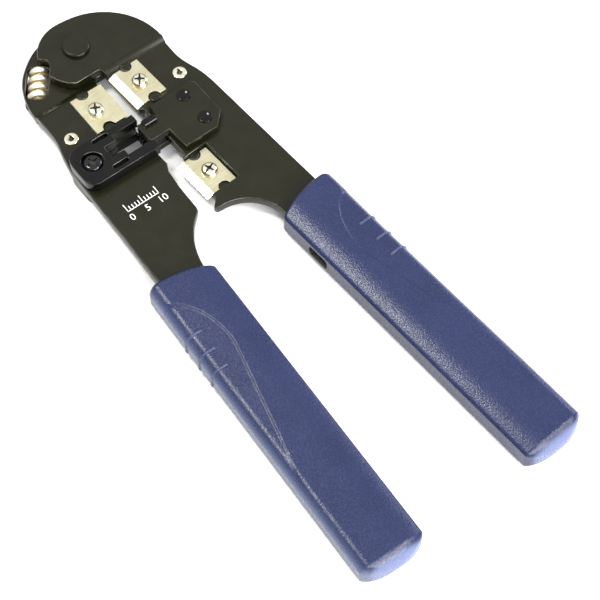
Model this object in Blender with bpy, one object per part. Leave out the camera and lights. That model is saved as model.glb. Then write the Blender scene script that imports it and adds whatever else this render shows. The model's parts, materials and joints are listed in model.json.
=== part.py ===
# Crimping tool for small flat-cable plugs: two pressed steel arms on one
# rivet, moulded grips, two strip blades, one cutter, a plug nest and a
# plunger.  Millimetre constants, built in metres, +Z up.  The tool lies flat
# on z = 0 with the rivet's centre line through x = y = 0, handles towards -Y.
import math

import bmesh
import bpy
from mathutils import Matrix

MM = 0.001

# ---- sheet steel arms -------------------------------------------------------
PLATE_T = 2.8            # thickness of both arm plates
LAP_GAP = 0.10           # running gap between the lapped heads
MID_Z = 4.7              # height of the arms' middle plane above the table
HEAD_R = 11.5            # round end about the rivet
HEAD_DX = 0.3            # how far the round end's centre sits past the rivet
HEAD_DY = 1.2
HEAD_ARC = (222, 84)     # the round end runs between these directions, degrees
HEAD_LOW_X = -6.8        # its lower edge starts here
HEAD_LOW_END = 0.4       # and ends here
SHOULDER_R = 20.87       # big outer curve from the round end to the waist
SHOULDER_X = 1.04
SHOULDER_Y = -10.72
SHOULDER_ARC = (84, -6)
DIE_SHOULDER = ((2.8, 9.8), (8.9, 8.4), (14.7, 4.6), (19.0, -0.4), (21.4, -7.4), (21.8, -14.1))
HEAD_LOW_Y = -10.4       # lower edge of the round end
JOG_TOP_Y = -10.9        # the plate steps between these two lines
JOG_LOW_Y = -13.1
RAM_FLANK = ((21.8, -13.6), (21.95, -20.0), (23.9, -27.0), (24.6, -32.0))  # waist and hip
RAM_ROOT = (27.1, -77.0) # where the plunger arm's outer side enters the grip
DIE_FLANK = ((21.8, -14.1), (21.95, -21.5), (23.5, -27.8), (24.5, -33.0))
DIE_ROOT = (26.15, -77.0)
STEP_IN_X = 1.0          # inner edge at the step
BLADE_IN_X = 2.2         # inner edge under the strip blades
BLADE_IN_LOW = -27.6     # where that stretch ends on the plunger arm
NEST_IN_LOW = -44.4      # where it ends on the die arm
NOSE_LOW = (2.0, -46.7)  # corner of the die arm below the nest
DIE_LIP_X = 4.1          # inner edge of the die arm beside the cutter
DIE_LIP_MID = (3.9, -55.5)
DIE_LIP_TOP = (3.2, -49.2)
DIE_LIP_LOW = -63.4
DIE_THROAT_R = 22.0      # hollow of the die arm above its grip
DIE_THROAT_AT = (-8.3, -82.5)
DIE_THROAT_ARC = (6.0, 54.5)
HOOK_THROAT_R = 12.2     # hollow under the plunger arm's hook
HOOK_THROAT_AT = (1.35, -79.4)
HOOK_THROAT_ARC = (-4.0, 90.0)
HOOK_TIP = (-0.3, -66.2)
HOOK_CHIN = (0.1, -67.1)
HOOK_BROW = ((1.2, -64.7), (1.9, -63.4))
SHEAR_TOP = (2.6, -48.4) # plunger arm's inner edge above the cutter
GULLET_X = 3.3           # inner edge of the plunger arm beside the nest
GULLET_LOW_Y = -47.0

# ---- pivot and return spring ------------------------------------------------
RIVET_R = 3.0
RIVET_HEAD_R = 3.95
RIVET_DOME = 1.2
RUN_FIT = 0.10           # radial running clearance on the rivet
CLOSE_DEG = 5.0          # room is left for the plunger arm to swing this far shut
SPRING_AT = (-14.55, -1.6)
SPRING_LEAN = 37.7       # spring's lean from +Y towards +X, degrees
SPRING_R = 2.85          # outside radius
SPRING_WIRE = 0.8        # wire radius
SPRING_LEN = 11.0
SPRING_TURNS = 4.0
SPRING_ROOM = 0.35       # air round the spring
WINDOW_CORNER = 2.2
LUG_T = 2.0              # spring lug, measured along the spring
LUG_W = 2.4              # width of the lug's neck
LUG_SHY = 0.3            # air between the lug and the plate round it
LUG_ROOF = 0.85          # skin of the die arm left over the lug
LUG_ROOT = (-7.3, -7.2)  # where the lug's neck joins the plunger arm

# ---- blades and screws ------------------------------------------------------
BLADE_W = 10.2
BLADE_L = 13.5
BLADE_T = 1.0
CUTTER_T = 0.8
BEVEL_W = 2.3
NOTCH_R = 1.85
PIP_R = 1.5              # round locating pips in the blade notches
PIP_SHY = 0.15           # pips stop this far under the blade's face
HOLE_BACK = 0.60         # screw line, share of width back from the edge
FIXED_AT = (-6.85, -21.15)
MOVING_AT = (6.6, -20.5)
MOVING_TILT = 2.7
CUTTER_AT = (5.1, -55.3)
CUTTER_DROP = 1.3        # cutter's face below the arm's face
CUTTER_SLOT = 2.0        # depth of the groove in the die arm that the cutter enters
CUTTER_SLOT_Y = (-63.3, -47.2)
SCREW_R = 1.2
SCREW_HEAD_R = 2.3
SCREW_HEAD_H = 1.4
SCREW_LEN = 3.0
CROSS_W = 0.64           # cross recess of the screws
CROSS_DEEP = 0.7
FIT = 0.3                # clearance round screws, tangs and set-in pieces

# ---- plug nest --------------------------------------------------------------
NEST_TOP = 3.5           # height of the upper half above the arm's face
NEST_LEFT_X = -24.4
NEST_RIGHT_X = -1.6
NEST_MID_Y = -36.2
NEST_FAR_Y = -29.75      # the nest's edge beside the strip blade
NEST_NEAR_Y = -43.3      # and its edge towards the grips
NEST_CORNER = 3.4
NEST_CORNER_MORE = 1.0   # the far left corner is rounder by this much
PLUG_WAY = 7.8           # clear width between the two fork arms
PLUG_BACK_X = -9.9
PLUG_WAY_OUT = 5.8       # the way is cut out past the arm's inner edge
LATCH_BACK_X = -13.8
LATCH_WAY = 3.7
NEST_SCREW_AT = (-19.1, -36.2)
NEST_SCREW_R = 1.7
NEST_SCREW_HEAD_R = 2.8
NEST_SCREW_HEAD_H = 1.5
NEST_SCREW_LEN = 7.0
NEST_BORE_R = 3.15
NEST_BORE_DEEP = 1.6
NEST_SLOT = (5.0, 1.2, 1.2)
NEST_SLOT_X = -15.7
NEST_SLOT_OFF = 5.1      # the two grooves lie this far from the middle line

# ---- plunger ----------------------------------------------------------------
RAM_T = 2.2              # thickness of each plunger plate
RAM_LEFT_X = 4.2
RAM_RIGHT_X = 19.4
RAM_TOP_Y = -29.6
RAM_LOW_Y = -46.8
RAM_CHAMFER = 4.0
TONGUE_X = -2.4
TONGUE_W = PLUG_WAY - 1.2   # so that it runs clear between the fork arms
RAM_RIVET_R = 1.5
RAM_RIVET_HEAD_R = 2.0
RAM_RIVET_HEAD_H = 0.35
RAM_RIVETS = ((14.0, -32.6), (14.4, -42.2))
DRIVER_TEETH = 4
TOOTH_PITCH = 1.15
TOOTH_W = 0.5
TOOTH_OUT = 1.2
BAR_W = 2.2
BAR_L = 4.0
BAR_H = 1.6

# ---- bright tubular pins ----------------------------------------------------
PIN_R = 1.45
PIN_HEAD_R = 2.05
PIN_HEAD_H = 0.35
PIN_BORE_R = 0.55
DIE_PIN_AT = (-18.4, -24.4)
RAM_PIN_AT = (18.6, -24.2)

# ---- moulded grips ----------------------------------------------------------
GRIP_AT = (21.0, -78.4)  # middle of the grip's mouth, plunger side
GRIP_TILT = 3.08         # each grip leans out by this, degrees
GRIP_W = 19.0
GRIP_L = 99.1
GRIP_H = 9.4
GRIP_OUT_R = 3.0         # rounding along the outer side
GRIP_IN_R = 1.4          # rounding along the inner side
GRIP_DOME = 3.2          # length of the rounded end
GRIP_DOME_IN = 3.6       # how much narrower the end's tip is, each side
MOUTH_DROP = 3.3         # inner corner of the mouth sits this much lower
MOUTH_FLAT_X = 6.5       # the mouth is square to the grip beyond this
MOUTH_BLEND = 30.0       # its bow has faded this far down
MOUTH_EDGE = ((0.0, 1.5, 0.4, 0.8), (0.5, 0.5, 0.1, 0.25), (1.7, 0.0, 0.0, 0.0))
TANG_IN = -7.4           # tang edges in the grip's own frame
TANG_OUT = 6.0
TANG_HALF = 4.6
TANG_BARB_Y = -20.0
TANG_LOW = -82.0
PEEP_Y = (-18.6, -11.4)  # side hole that shows the tang's barb
PEEP_H = 3.8

THROUGH = 8.0            # cutters reach this far past both faces
SHARP_DEG = 32.0         # edges bent more than this are drawn as edges

FACE_Z = PLATE_T / 2.0
HEAD_SHIFT = (PLATE_T + LAP_GAP) / 2.0
LIFT = Matrix.Translation((0.0, 0.0, MID_Z * MM))


# ---- small helpers ----------------------------------------------------------
def clear_scene():
    for obj in list(bpy.data.objects):
        bpy.data.objects.remove(obj, do_unlink=True)


def material(name, colour, metallic, rough):
    mat = bpy.data.materials.new(name)
    mat.use_nodes = True
    shader = mat.node_tree.nodes["Principled BSDF"]
    shader.inputs["Base Color"].default_value = (*colour, 1.0)
    shader.inputs["Metallic"].default_value = metallic
    shader.inputs["Roughness"].default_value = rough
    mat.diffuse_color = (*colour, 1.0)
    return mat


LOOKS = {
    "black_steel": ((0.045, 0.045, 0.038), 0.6, 0.38),
    "bright_steel": ((0.82, 0.80, 0.68), 1.0, 0.25),
    "spring_zinc": ((0.80, 0.74, 0.50), 1.0, 0.30),
    "grip_plastic": ((0.05, 0.07, 0.20), 0.0, 0.45),
}


def turn(point, degrees):
    a = math.radians(degrees)
    x, y = point
    return (x * math.cos(a) - y * math.sin(a), x * math.sin(a) + y * math.cos(a))


def arc(centre, radius, start, end, steps):
    points = []
    for i in range(steps + 1):
        a = math.radians(start + (end - start) * i / steps)
        points.append((centre[0] + radius * math.cos(a), centre[1] + radius * math.sin(a)))
    return points


def curve(points, steps):
    """Smooth line through a few points, with this many steps between two of them."""
    ends = [points[0]] + list(points) + [points[-1]]
    line = []
    for a, b, c, d in zip(ends, ends[1:], ends[2:], ends[3:]):
        for i in range(steps):
            t = i / steps
            line.append(tuple(
                b[k] + 0.5 * t * (c[k] - a[k] + t * (2.0 * a[k] - 5.0 * b[k] + 4.0 * c[k] - d[k]
                                                   + t * (3.0 * (b[k] - c[k]) + d[k] - a[k])))
                for k in (0, 1)))
    return line + [points[-1]]


def box_points(x0, x1, y0, y1):
    return [(x0, y0), (x1, y0), (x1, y1), (x0, y1)]


def rounded_box(x0, x1, y0, y1, radius, steps=4):
    points = arc((x1 - radius, y0 + radius), radius, -90, 0, steps)
    points += arc((x1 - radius, y1 - radius), radius, 0, 90, steps)
    points += arc((x0 + radius, y1 - radius), radius, 90, 180, steps)
    points += arc((x0 + radius, y0 + radius), radius, 180, 270, steps)
    return points


def mirror_x(points):
    return [(-x, y) for x, y in reversed(points)]


def area(points):
    total = 0.0
    for (ax, ay), (bx, by) in zip(points, points[1:] + points[:1]):
        total += ax * by - bx * ay
    return total / 2.0


def add_prism(bm, points, z0, z1):
    """Extrude one outline between two heights; returns (low, high) vertices."""
    if area(points) < 0.0:
        points = list(reversed(points))
    low = [bm.verts.new((x * MM, y * MM, z0 * MM)) for x, y in points]
    high = [bm.verts.new((x * MM, y * MM, z1 * MM)) for x, y in points]
    bm.faces.new(list(reversed(low)))
    bm.faces.new(high)
    count = len(points)
    for i in range(count):
        j = (i + 1) % count
        bm.faces.new((low[i], low[j], high[j], high[i]))
    return low, high


def add_round(bm, centre, radius, z0, z1, steps=24):
    return add_prism(bm, arc(centre, radius, 0, 360, steps)[:-1], z0, z1)


def finish(bm, name, look):
    """Make one named object from a closed mesh, at its place in the tool."""
    bmesh.ops.recalc_face_normals(bm, faces=bm.faces)
    bm.transform(LIFT)
    mesh = bpy.data.meshes.new(name)
    bm.to_mesh(mesh)
    bm.free()
    mesh.shade_smooth()
    mesh.set_sharp_from_angle(angle=math.radians(SHARP_DEG))
    obj = bpy.data.objects.new(name, mesh)
    bpy.context.scene.collection.objects.link(obj)
    if look:
        colour, metallic, rough = LOOKS[look]
        mesh.materials.append(material(name, colour, metallic, rough))
    return obj


def combine(target, tool_bm, name, mode):
    """Cut or join the closed tool mesh with the target."""
    tool = finish(tool_bm, name, None)
    tool.hide_render = True
    tool.display_type = "WIRE"
    step = target.modifiers.new(name, "BOOLEAN")
    step.operation = mode
    step.solver = "EXACT"
    step.object = tool
    return tool


def cut(target, tool_bm, name):
    return combine(target, tool_bm, name, "DIFFERENCE")


def join(target, tool_bm, name):
    return combine(target, tool_bm, name, "UNION")


def hull(points):
    """Convex outline round a set of points."""
    points = sorted(set((round(x, 5), round(y, 5)) for x, y in points))
    sides = []
    for ordered in (points, list(reversed(points))):
        chain = []
        for p in ordered:
            while len(chain) > 1:
                (ax, ay), (bx, by) = chain[-2], chain[-1]
                if (bx - ax) * (p[1] - ay) - (by - ay) * (p[0] - ax) > 0.0:
                    break
                chain.pop()
            chain.append(p)
        sides += chain[:-1]
    return sides


# ---- places that several pieces share --------------------------------------
def grip_point(x, y, side):
    """A point of the grip's own frame, placed on the plunger (+1) or die (-1) side."""
    px, py = turn((x, y), GRIP_TILT)
    return (side * (px + GRIP_AT[0]), py + GRIP_AT[1])


def spring_point(along, across):
    """A point beside the spring: along its axis, and across it towards the rivet."""
    a = math.radians(SPRING_LEAN)
    ux, uy = math.sin(a), math.cos(a)
    return (SPRING_AT[0] + ux * along + uy * across, SPRING_AT[1] + uy * along - ux * across)


def lug_outline():
    """Lug and neck of the plunger arm that press the spring's lower end."""
    seat = -SPRING_LEN / 2.0 - 0.02
    head = [
        spring_point(seat, -1.1),
        spring_point(seat, SPRING_R - 0.2),
        spring_point(seat - LUG_T, SPRING_R - 0.2),
        spring_point(seat - LUG_T, -0.9),
    ]
    root_x, root_y = LUG_ROOT
    neck = [
        spring_point(seat - 0.3, 1.0),
        (root_x, root_y + LUG_W / 2.0),
        (root_x, root_y - LUG_W / 2.0),
        spring_point(seat - LUG_T, 0.2),
    ]
    return hull(head), hull(neck)


def lug_post():
    """Footprint of the post that carries the lug's neck."""
    root_x, root_y = LUG_ROOT
    half = LUG_W / 2.0 - 0.1
    return box_points(root_x - 1.3, root_x - 0.1, root_y - half, root_y + half)


def lug_sweep(points):
    """Room that the lug needs between its open and shut places."""
    spread = []
    for p in points:
        for degrees in (0.6, 0.0, -CLOSE_DEG / 2.0, -CLOSE_DEG, -CLOSE_DEG - 0.6):
            q = turn(p, degrees)
            spread += arc(q, FIT, 0, 360, 8)
    return hull(spread)


def blade_outline(tilt_out):
    """Blade seen from above, cutting edge towards -x, notched short edges."""
    left = -BLADE_W / 2.0
    right = BLADE_W / 2.0
    low = -BLADE_L / 2.0
    high = BLADE_L / 2.0
    line = left + BLADE_W * HOLE_BACK
    points = [(left, low)]
    points += arc((line, low), NOTCH_R, 180, 0, 10)
    points += [(right, low), (right, high)]
    points += arc((line, high), NOTCH_R, 0, -180, 10)
    points += [(left, high)]
    return [turn(p, tilt_out) for p in points]


def blade_spot(at, tilt, edge_sign, share_y):
    """Point on the blade's screw line, share_y half lengths up from its middle."""
    x = edge_sign * (BLADE_W * HOLE_BACK - BLADE_W / 2.0)
    px, py = turn((x, share_y * BLADE_L / 2.0), tilt)
    return (at[0] + px, at[1] + py)


def outer_edge(shoulder, side, root):
    """Outer side of an arm from the top of the round end down to the grip."""
    return shoulder + curve(side, 4)[1:] + [root]


def head_edge():
    """Round end's far side, from its lower edge up to the top."""
    points = [(HEAD_LOW_END, HEAD_LOW_Y), (HEAD_LOW_X, HEAD_LOW_Y)]
    points += arc((-HEAD_DX, -HEAD_DY), HEAD_R, *HEAD_ARC, 16)
    return points


def tang_edge():
    """The part of an arm inside its grip, outer side first, in the plunger frame."""
    local = [
        (TANG_OUT, -6.0),
        (TANG_OUT, TANG_BARB_Y),
        (TANG_HALF, TANG_BARB_Y - 6.0),
        (TANG_HALF, TANG_LOW + 2.0),
        (TANG_HALF - 2.0, TANG_LOW),
        (2.0 - TANG_HALF, TANG_LOW),
        (-TANG_HALF, TANG_LOW + 2.0),
        (-TANG_HALF, TANG_BARB_Y - 3.0),
        (TANG_IN, TANG_BARB_Y + 1.0),
        (TANG_IN, -5.2),
    ]
    return [grip_point(x, y, 1) for x, y in local]


def step_plate(bm, up):
    """Step the round end of an arm to its own level at the two step lines."""
    for y in (JOG_TOP_Y, JOG_LOW_Y):
        geom = bm.verts[:] + bm.edges[:] + bm.faces[:]
        bmesh.ops.bisect_plane(bm, geom=geom, plane_co=(0, y * MM, 0), plane_no=(0, 1, 0))
    middle = (JOG_TOP_Y + JOG_LOW_Y) / 2.0
    for v in bm.verts:
        if v.co.y > middle * MM:
            v.co.z += up * HEAD_SHIFT * MM


# ---- die arm (stays still) --------------------------------------------------
def spring_window(more_in, low, high):
    """Outline of the room round the spring, a little wider on the rivet's side."""
    side = SPRING_R + SPRING_ROOM
    ring = rounded_box(-side, side + more_in, low, high, WINDOW_CORNER, 5)
    return [spring_point(y, x) for x, y in ring]


def build_die_arm():
    outline = outer_edge(curve(DIE_SHOULDER, 4), DIE_FLANK, DIE_ROOT) + tang_edge()
    outline += arc(DIE_THROAT_AT, DIE_THROAT_R, DIE_THROAT_ARC[0], DIE_THROAT_ARC[1], 12)
    outline += [(DIE_LIP_X, DIE_LIP_LOW), DIE_LIP_MID, DIE_LIP_TOP, NOSE_LOW, (BLADE_IN_X, NEST_IN_LOW)]
    outline += [(BLADE_IN_X, JOG_LOW_Y - 0.6), (STEP_IN_X + 0.2, JOG_TOP_Y)]
    outline += head_edge()
    bm = bmesh.new()
    add_prism(bm, mirror_x(outline), -FACE_Z, FACE_Z)
    step_plate(bm, -1.0)
    plate = finish(bm, "die_arm_plate", "black_steel")

    pips = bmesh.new()
    for share in (-1.0, 1.0):
        at = blade_spot(FIXED_AT, 0.0, -1.0, share)
        add_round(pips, at, PIP_R, 0.0, FACE_Z + BLADE_T - PIP_SHY, 20)
    join(plate, pips, "die_arm_pips")

    holes = bmesh.new()
    add_round(holes, (0.0, 0.0), RIVET_R + RUN_FIT, -THROUGH, THROUGH, 48)
    add_round(holes, blade_spot(FIXED_AT, 0.0, -1.0, 0.0), SCREW_R + FIT, -THROUGH, THROUGH)
    add_round(holes, NEST_SCREW_AT, NEST_SCREW_R + FIT, -THROUGH, THROUGH)
    add_round(holes, DIE_PIN_AT, PIN_R + FIT, -THROUGH, THROUGH)
    cut(plate, holes, "die_arm_holes")

    window = bmesh.new()
    half = SPRING_LEN / 2.0 + 0.05
    add_prism(window, spring_window(0.0, -half, half), -THROUGH, THROUGH)
    cut(plate, window, "die_arm_spring_window")
    roof = FACE_Z - HEAD_SHIFT - LUG_ROOF
    for index, outline in enumerate(lug_outline()):
        room = bmesh.new()
        add_prism(room, lug_sweep(outline), -THROUGH + 0.5 * (index + 1), roof - 0.05 * index)
        cut(plate, room, "die_arm_lug_room_%d" % index)
    room = bmesh.new()
    add_prism(room, lug_sweep(lug_post()), -THROUGH + 1.5, THROUGH - 1.5)
    cut(plate, room, "die_arm_post_room")

    way = bmesh.new()
    low = NEST_MID_Y - PLUG_WAY / 2.0
    high = NEST_MID_Y + PLUG_WAY / 2.0
    add_prism(way, box_points(PLUG_BACK_X, PLUG_WAY_OUT, low, high), -THROUGH - 0.2, THROUGH + 0.2)
    cut(plate, way, "die_arm_plug_way")
    latch = bmesh.new()
    low = NEST_MID_Y - LATCH_WAY / 2.0
    high = NEST_MID_Y + LATCH_WAY / 2.0
    add_prism(latch, box_points(LATCH_BACK_X, PLUG_BACK_X + 0.6, low, high), -THROUGH + 0.2, THROUGH - 0.2)
    cut(plate, latch, "die_arm_latch_way")

    slot = bmesh.new()
    low = FACE_Z - CUTTER_DROP - CUTTER_T - FIT / 2.0
    high = FACE_Z - CUTTER_DROP + FIT / 2.0
    add_prism(slot, box_points(-DIE_LIP_X - CUTTER_SLOT, 2.0, *CUTTER_SLOT_Y), low, high)
    cut(plate, slot, "die_arm_cutter_slot")
    return plate


def add_nest_half(bm, z0, z1):
    left, right = NEST_LEFT_X, NEST_RIGHT_X
    low, high = NEST_NEAR_Y, NEST_FAR_Y
    r = NEST_CORNER
    way_low = NEST_MID_Y - PLUG_WAY / 2.0
    way_high = NEST_MID_Y + PLUG_WAY / 2.0
    latch_low = NEST_MID_Y - LATCH_WAY / 2.0
    latch_high = NEST_MID_Y + LATCH_WAY / 2.0
    points = arc((left + r, low + r), r, 180, 270, 6)
    points += [(right, low), (right, way_low), (PLUG_BACK_X, way_low)]
    points += [(PLUG_BACK_X, latch_low), (LATCH_BACK_X, latch_low)]
    points += [(LATCH_BACK_X, latch_high), (PLUG_BACK_X, latch_high)]
    points += [(PLUG_BACK_X, way_high), (right, way_high), (right, high)]
    far = r + NEST_CORNER_MORE
    points += arc((left + far, high - far), far, 90, 180, 6)
    add_prism(bm, points, z0, z1)


def build_nest():
    top = FACE_Z + NEST_TOP
    bm = bmesh.new()
    add_nest_half(bm, FACE_Z, top)
    upper = finish(bm, "plug_nest_upper", "black_steel")
    bores = bmesh.new()
    add_round(bores, NEST_SCREW_AT, NEST_SCREW_R + FIT, 0.0, top - 0.5)
    cut(upper, bores, "plug_nest_bore")
    sink = bmesh.new()
    add_round(sink, NEST_SCREW_AT, NEST_BORE_R, top - NEST_BORE_DEEP, top + 2.0, 28)
    cut(upper, sink, "plug_nest_counterbore")
    grooves = bmesh.new()
    length, width, deep = NEST_SLOT
    for side in (-1.0, 1.0):
        y = NEST_MID_Y + side * NEST_SLOT_OFF
        ring = rounded_box(NEST_SLOT_X, NEST_SLOT_X + length, y - width / 2.0, y + width / 2.0, width * 0.49)
        add_prism(grooves, ring, top - deep, top + 1.0)
    cut(upper, grooves, "plug_nest_grooves")

    bm = bmesh.new()
    add_nest_half(bm, -MID_Z, -FACE_Z)
    lower = finish(bm, "plug_nest_lower", "black_steel")
    bores = bmesh.new()
    add_round(bores, NEST_SCREW_AT, NEST_SCREW_R + FIT, -THROUGH, 0.0)
    cut(lower, bores, "plug_nest_lower_bore")

    seat = top - NEST_BORE_DEEP
    bm = screw_mesh(NEST_SCREW_AT, seat, NEST_SCREW_HEAD_R, NEST_SCREW_HEAD_H, NEST_SCREW_R, NEST_SCREW_LEN)
    screw = finish(bm, "plug_nest_screw", "black_steel")
    cross = cross_cutter(NEST_SCREW_AT, seat + NEST_SCREW_HEAD_H, NEST_SCREW_HEAD_R * 0.68)
    cut(screw, cross, "plug_nest_screw_cross")


def screw_mesh(at, seat, head_r, head_h, shank_r, length):
    """Pan head and shank as one turned shape; seat is the head's underside."""
    bm = bmesh.new()
    profile = [
        (0.0, seat - length),
        (shank_r, seat - length),
        (shank_r, seat),
        (head_r, seat),
        (head_r, seat + head_h * 0.45),
        (head_r * 0.86, seat + head_h * 0.86),
        (head_r * 0.55, seat + head_h),
        (0.0, seat + head_h),
    ]
    add_turned(bm, at, profile, 24)
    return bm


def add_turned(bm, at, profile, steps):
    """Turn a profile of (radius, height) about an upright line."""
    rings = []
    for radius, height in profile:
        if radius == 0.0:
            rings.append([bm.verts.new((at[0] * MM, at[1] * MM, height * MM))])
            continue
        points = arc(at, radius, 0, 360, steps)[:-1]
        rings.append([bm.verts.new((x * MM, y * MM, height * MM)) for x, y in points])
    for a, b in zip(rings, rings[1:]):
        for i in range(steps):
            j = (i + 1) % steps
            if len(a) == 1:
                bm.faces.new((a[0], b[j], b[i]))
            elif len(b) == 1:
                bm.faces.new((a[i], a[j], b[0]))
            else:
                bm.faces.new((a[i], a[j], b[j], b[i]))


def cross_cutter(at, top, reach):
    """Cross-shaped driver recess."""
    w = CROSS_W / 2.0
    shape = [(w, w), (w, reach), (-w, reach), (-w, w), (-reach, w), (-reach, -w)]
    shape += [(-w, -w), (-w, -reach), (w, -reach), (w, -w), (reach, -w), (reach, w)]
    bm = bmesh.new()
    add_prism(bm, [(at[0] + x, at[1] + y) for x, y in shape], top - CROSS_DEEP, top + 1.0)
    return bm


def add_blade(bm, at, tilt, mirrored, z0, z1, edge_low):
    """One blade; its ground bevel faces up when the cutting edge is at the bottom."""
    points = blade_outline(0.0)
    if mirrored:
        points = mirror_x(points)
    placed = [turn(p, tilt) for p in points]
    placed = [(x + at[0], y + at[1]) for x, y in placed]
    low, high = add_prism(bm, placed, z0, z1)
    ring = points if area(points) > 0.0 else list(reversed(points))
    sign = 1.0 if mirrored else -1.0
    step = turn((-sign * BEVEL_W, 0.0), tilt)
    moved = high if edge_low else low
    for p, v in zip(ring, moved):
        if p[0] * sign > BLADE_W / 2.0 - 0.01:
            v.co.x += step[0] * MM
            v.co.y += step[1] * MM


def build_blade(name, at, tilt, mirrored, seat, thick, edge_low):
    sign = -1.0 if mirrored else 1.0
    spot = blade_spot(at, tilt, sign, 0.0)
    bm = bmesh.new()
    add_blade(bm, at, tilt, mirrored, seat, seat + thick, edge_low)
    blade = finish(bm, name, "bright_steel")
    hole = bmesh.new()
    add_round(hole, spot, SCREW_R + FIT, seat - 2.0, seat + thick + 2.0)
    cut(blade, hole, name + "_hole")
    bm = screw_mesh(spot, seat + thick, SCREW_HEAD_R, SCREW_HEAD_H, SCREW_R, SCREW_LEN)
    screw = finish(bm, name + "_screw", "bright_steel")
    top = seat + thick + SCREW_HEAD_H
    cut(screw, cross_cutter(spot, top, SCREW_HEAD_R * 0.68), name + "_screw_cross")


def build_pin(name, at):
    """Bright tubular pin with a flanged end on the arm's face."""
    profile = [
        (PIN_BORE_R, -FACE_Z),
        (PIN_R, -FACE_Z),
        (PIN_R, FACE_Z),
        (PIN_HEAD_R, FACE_Z),
        (PIN_HEAD_R * 0.9, FACE_Z + PIN_HEAD_H),
        (PIN_BORE_R, FACE_Z + PIN_HEAD_H),
        (PIN_BORE_R, -FACE_Z),
    ]
    bm = bmesh.new()
    add_turned(bm, at, profile, 24)
    bmesh.ops.remove_doubles(bm, verts=bm.verts, dist=0.000001)
    return finish(bm, name, "bright_steel")


def build_rivet():
    low = -HEAD_SHIFT - FACE_Z
    high = HEAD_SHIFT + FACE_Z + LAP_GAP / 2.0
    profile = [
        (0.0, -MID_Z),
        (RIVET_HEAD_R - 0.3, -MID_Z),
        (RIVET_HEAD_R, -MID_Z + 0.3),
        (RIVET_HEAD_R, low),
        (RIVET_R, low),
        (RIVET_R, high),
        (RIVET_HEAD_R, high),
        (RIVET_HEAD_R, high + RIVET_DOME * 0.55),
        (RIVET_HEAD_R * 0.85, high + RIVET_DOME * 0.88),
        (RIVET_HEAD_R * 0.5, high + RIVET_DOME),
        (0.0, high + RIVET_DOME),
    ]
    bm = bmesh.new()
    add_turned(bm, (0.0, 0.0), profile, 48)
    return finish(bm, "pivot_rivet", "black_steel")


def build_spring():
    """Round-wire compression spring lying in the die arm's window."""
    bm = bmesh.new()
    mean = SPRING_R - SPRING_WIRE
    steps = int(SPRING_TURNS * 14)
    travel = SPRING_LEN - 2.0 * SPRING_WIRE
    wire_sides = 8
    rings = []
    for i in range(steps + 1):
        share = i / steps
        a = share * SPRING_TURNS * 2.0 * math.pi + math.pi / 2.0
        along = -travel / 2.0 + travel * share
        ring = []
        for k in range(wire_sides):
            b = 2.0 * math.pi * k / wire_sides
            radius = mean + SPRING_WIRE * math.cos(b)
            s = along + SPRING_WIRE * math.sin(b)
            x, y = spring_point(s, radius * math.cos(a))
            ring.append(bm.verts.new((x * MM, y * MM, (radius * math.sin(a) - HEAD_SHIFT) * MM)))
        rings.append(ring)
    for a, b in zip(rings, rings[1:]):
        for k in range(wire_sides):
            j = (k + 1) % wire_sides
            bm.faces.new((a[k], a[j], b[j], b[k]))
    bm.faces.new(rings[0])
    bm.faces.new(list(reversed(rings[-1])))
    return finish(bm, "return_spring", "spring_zinc")


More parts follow.
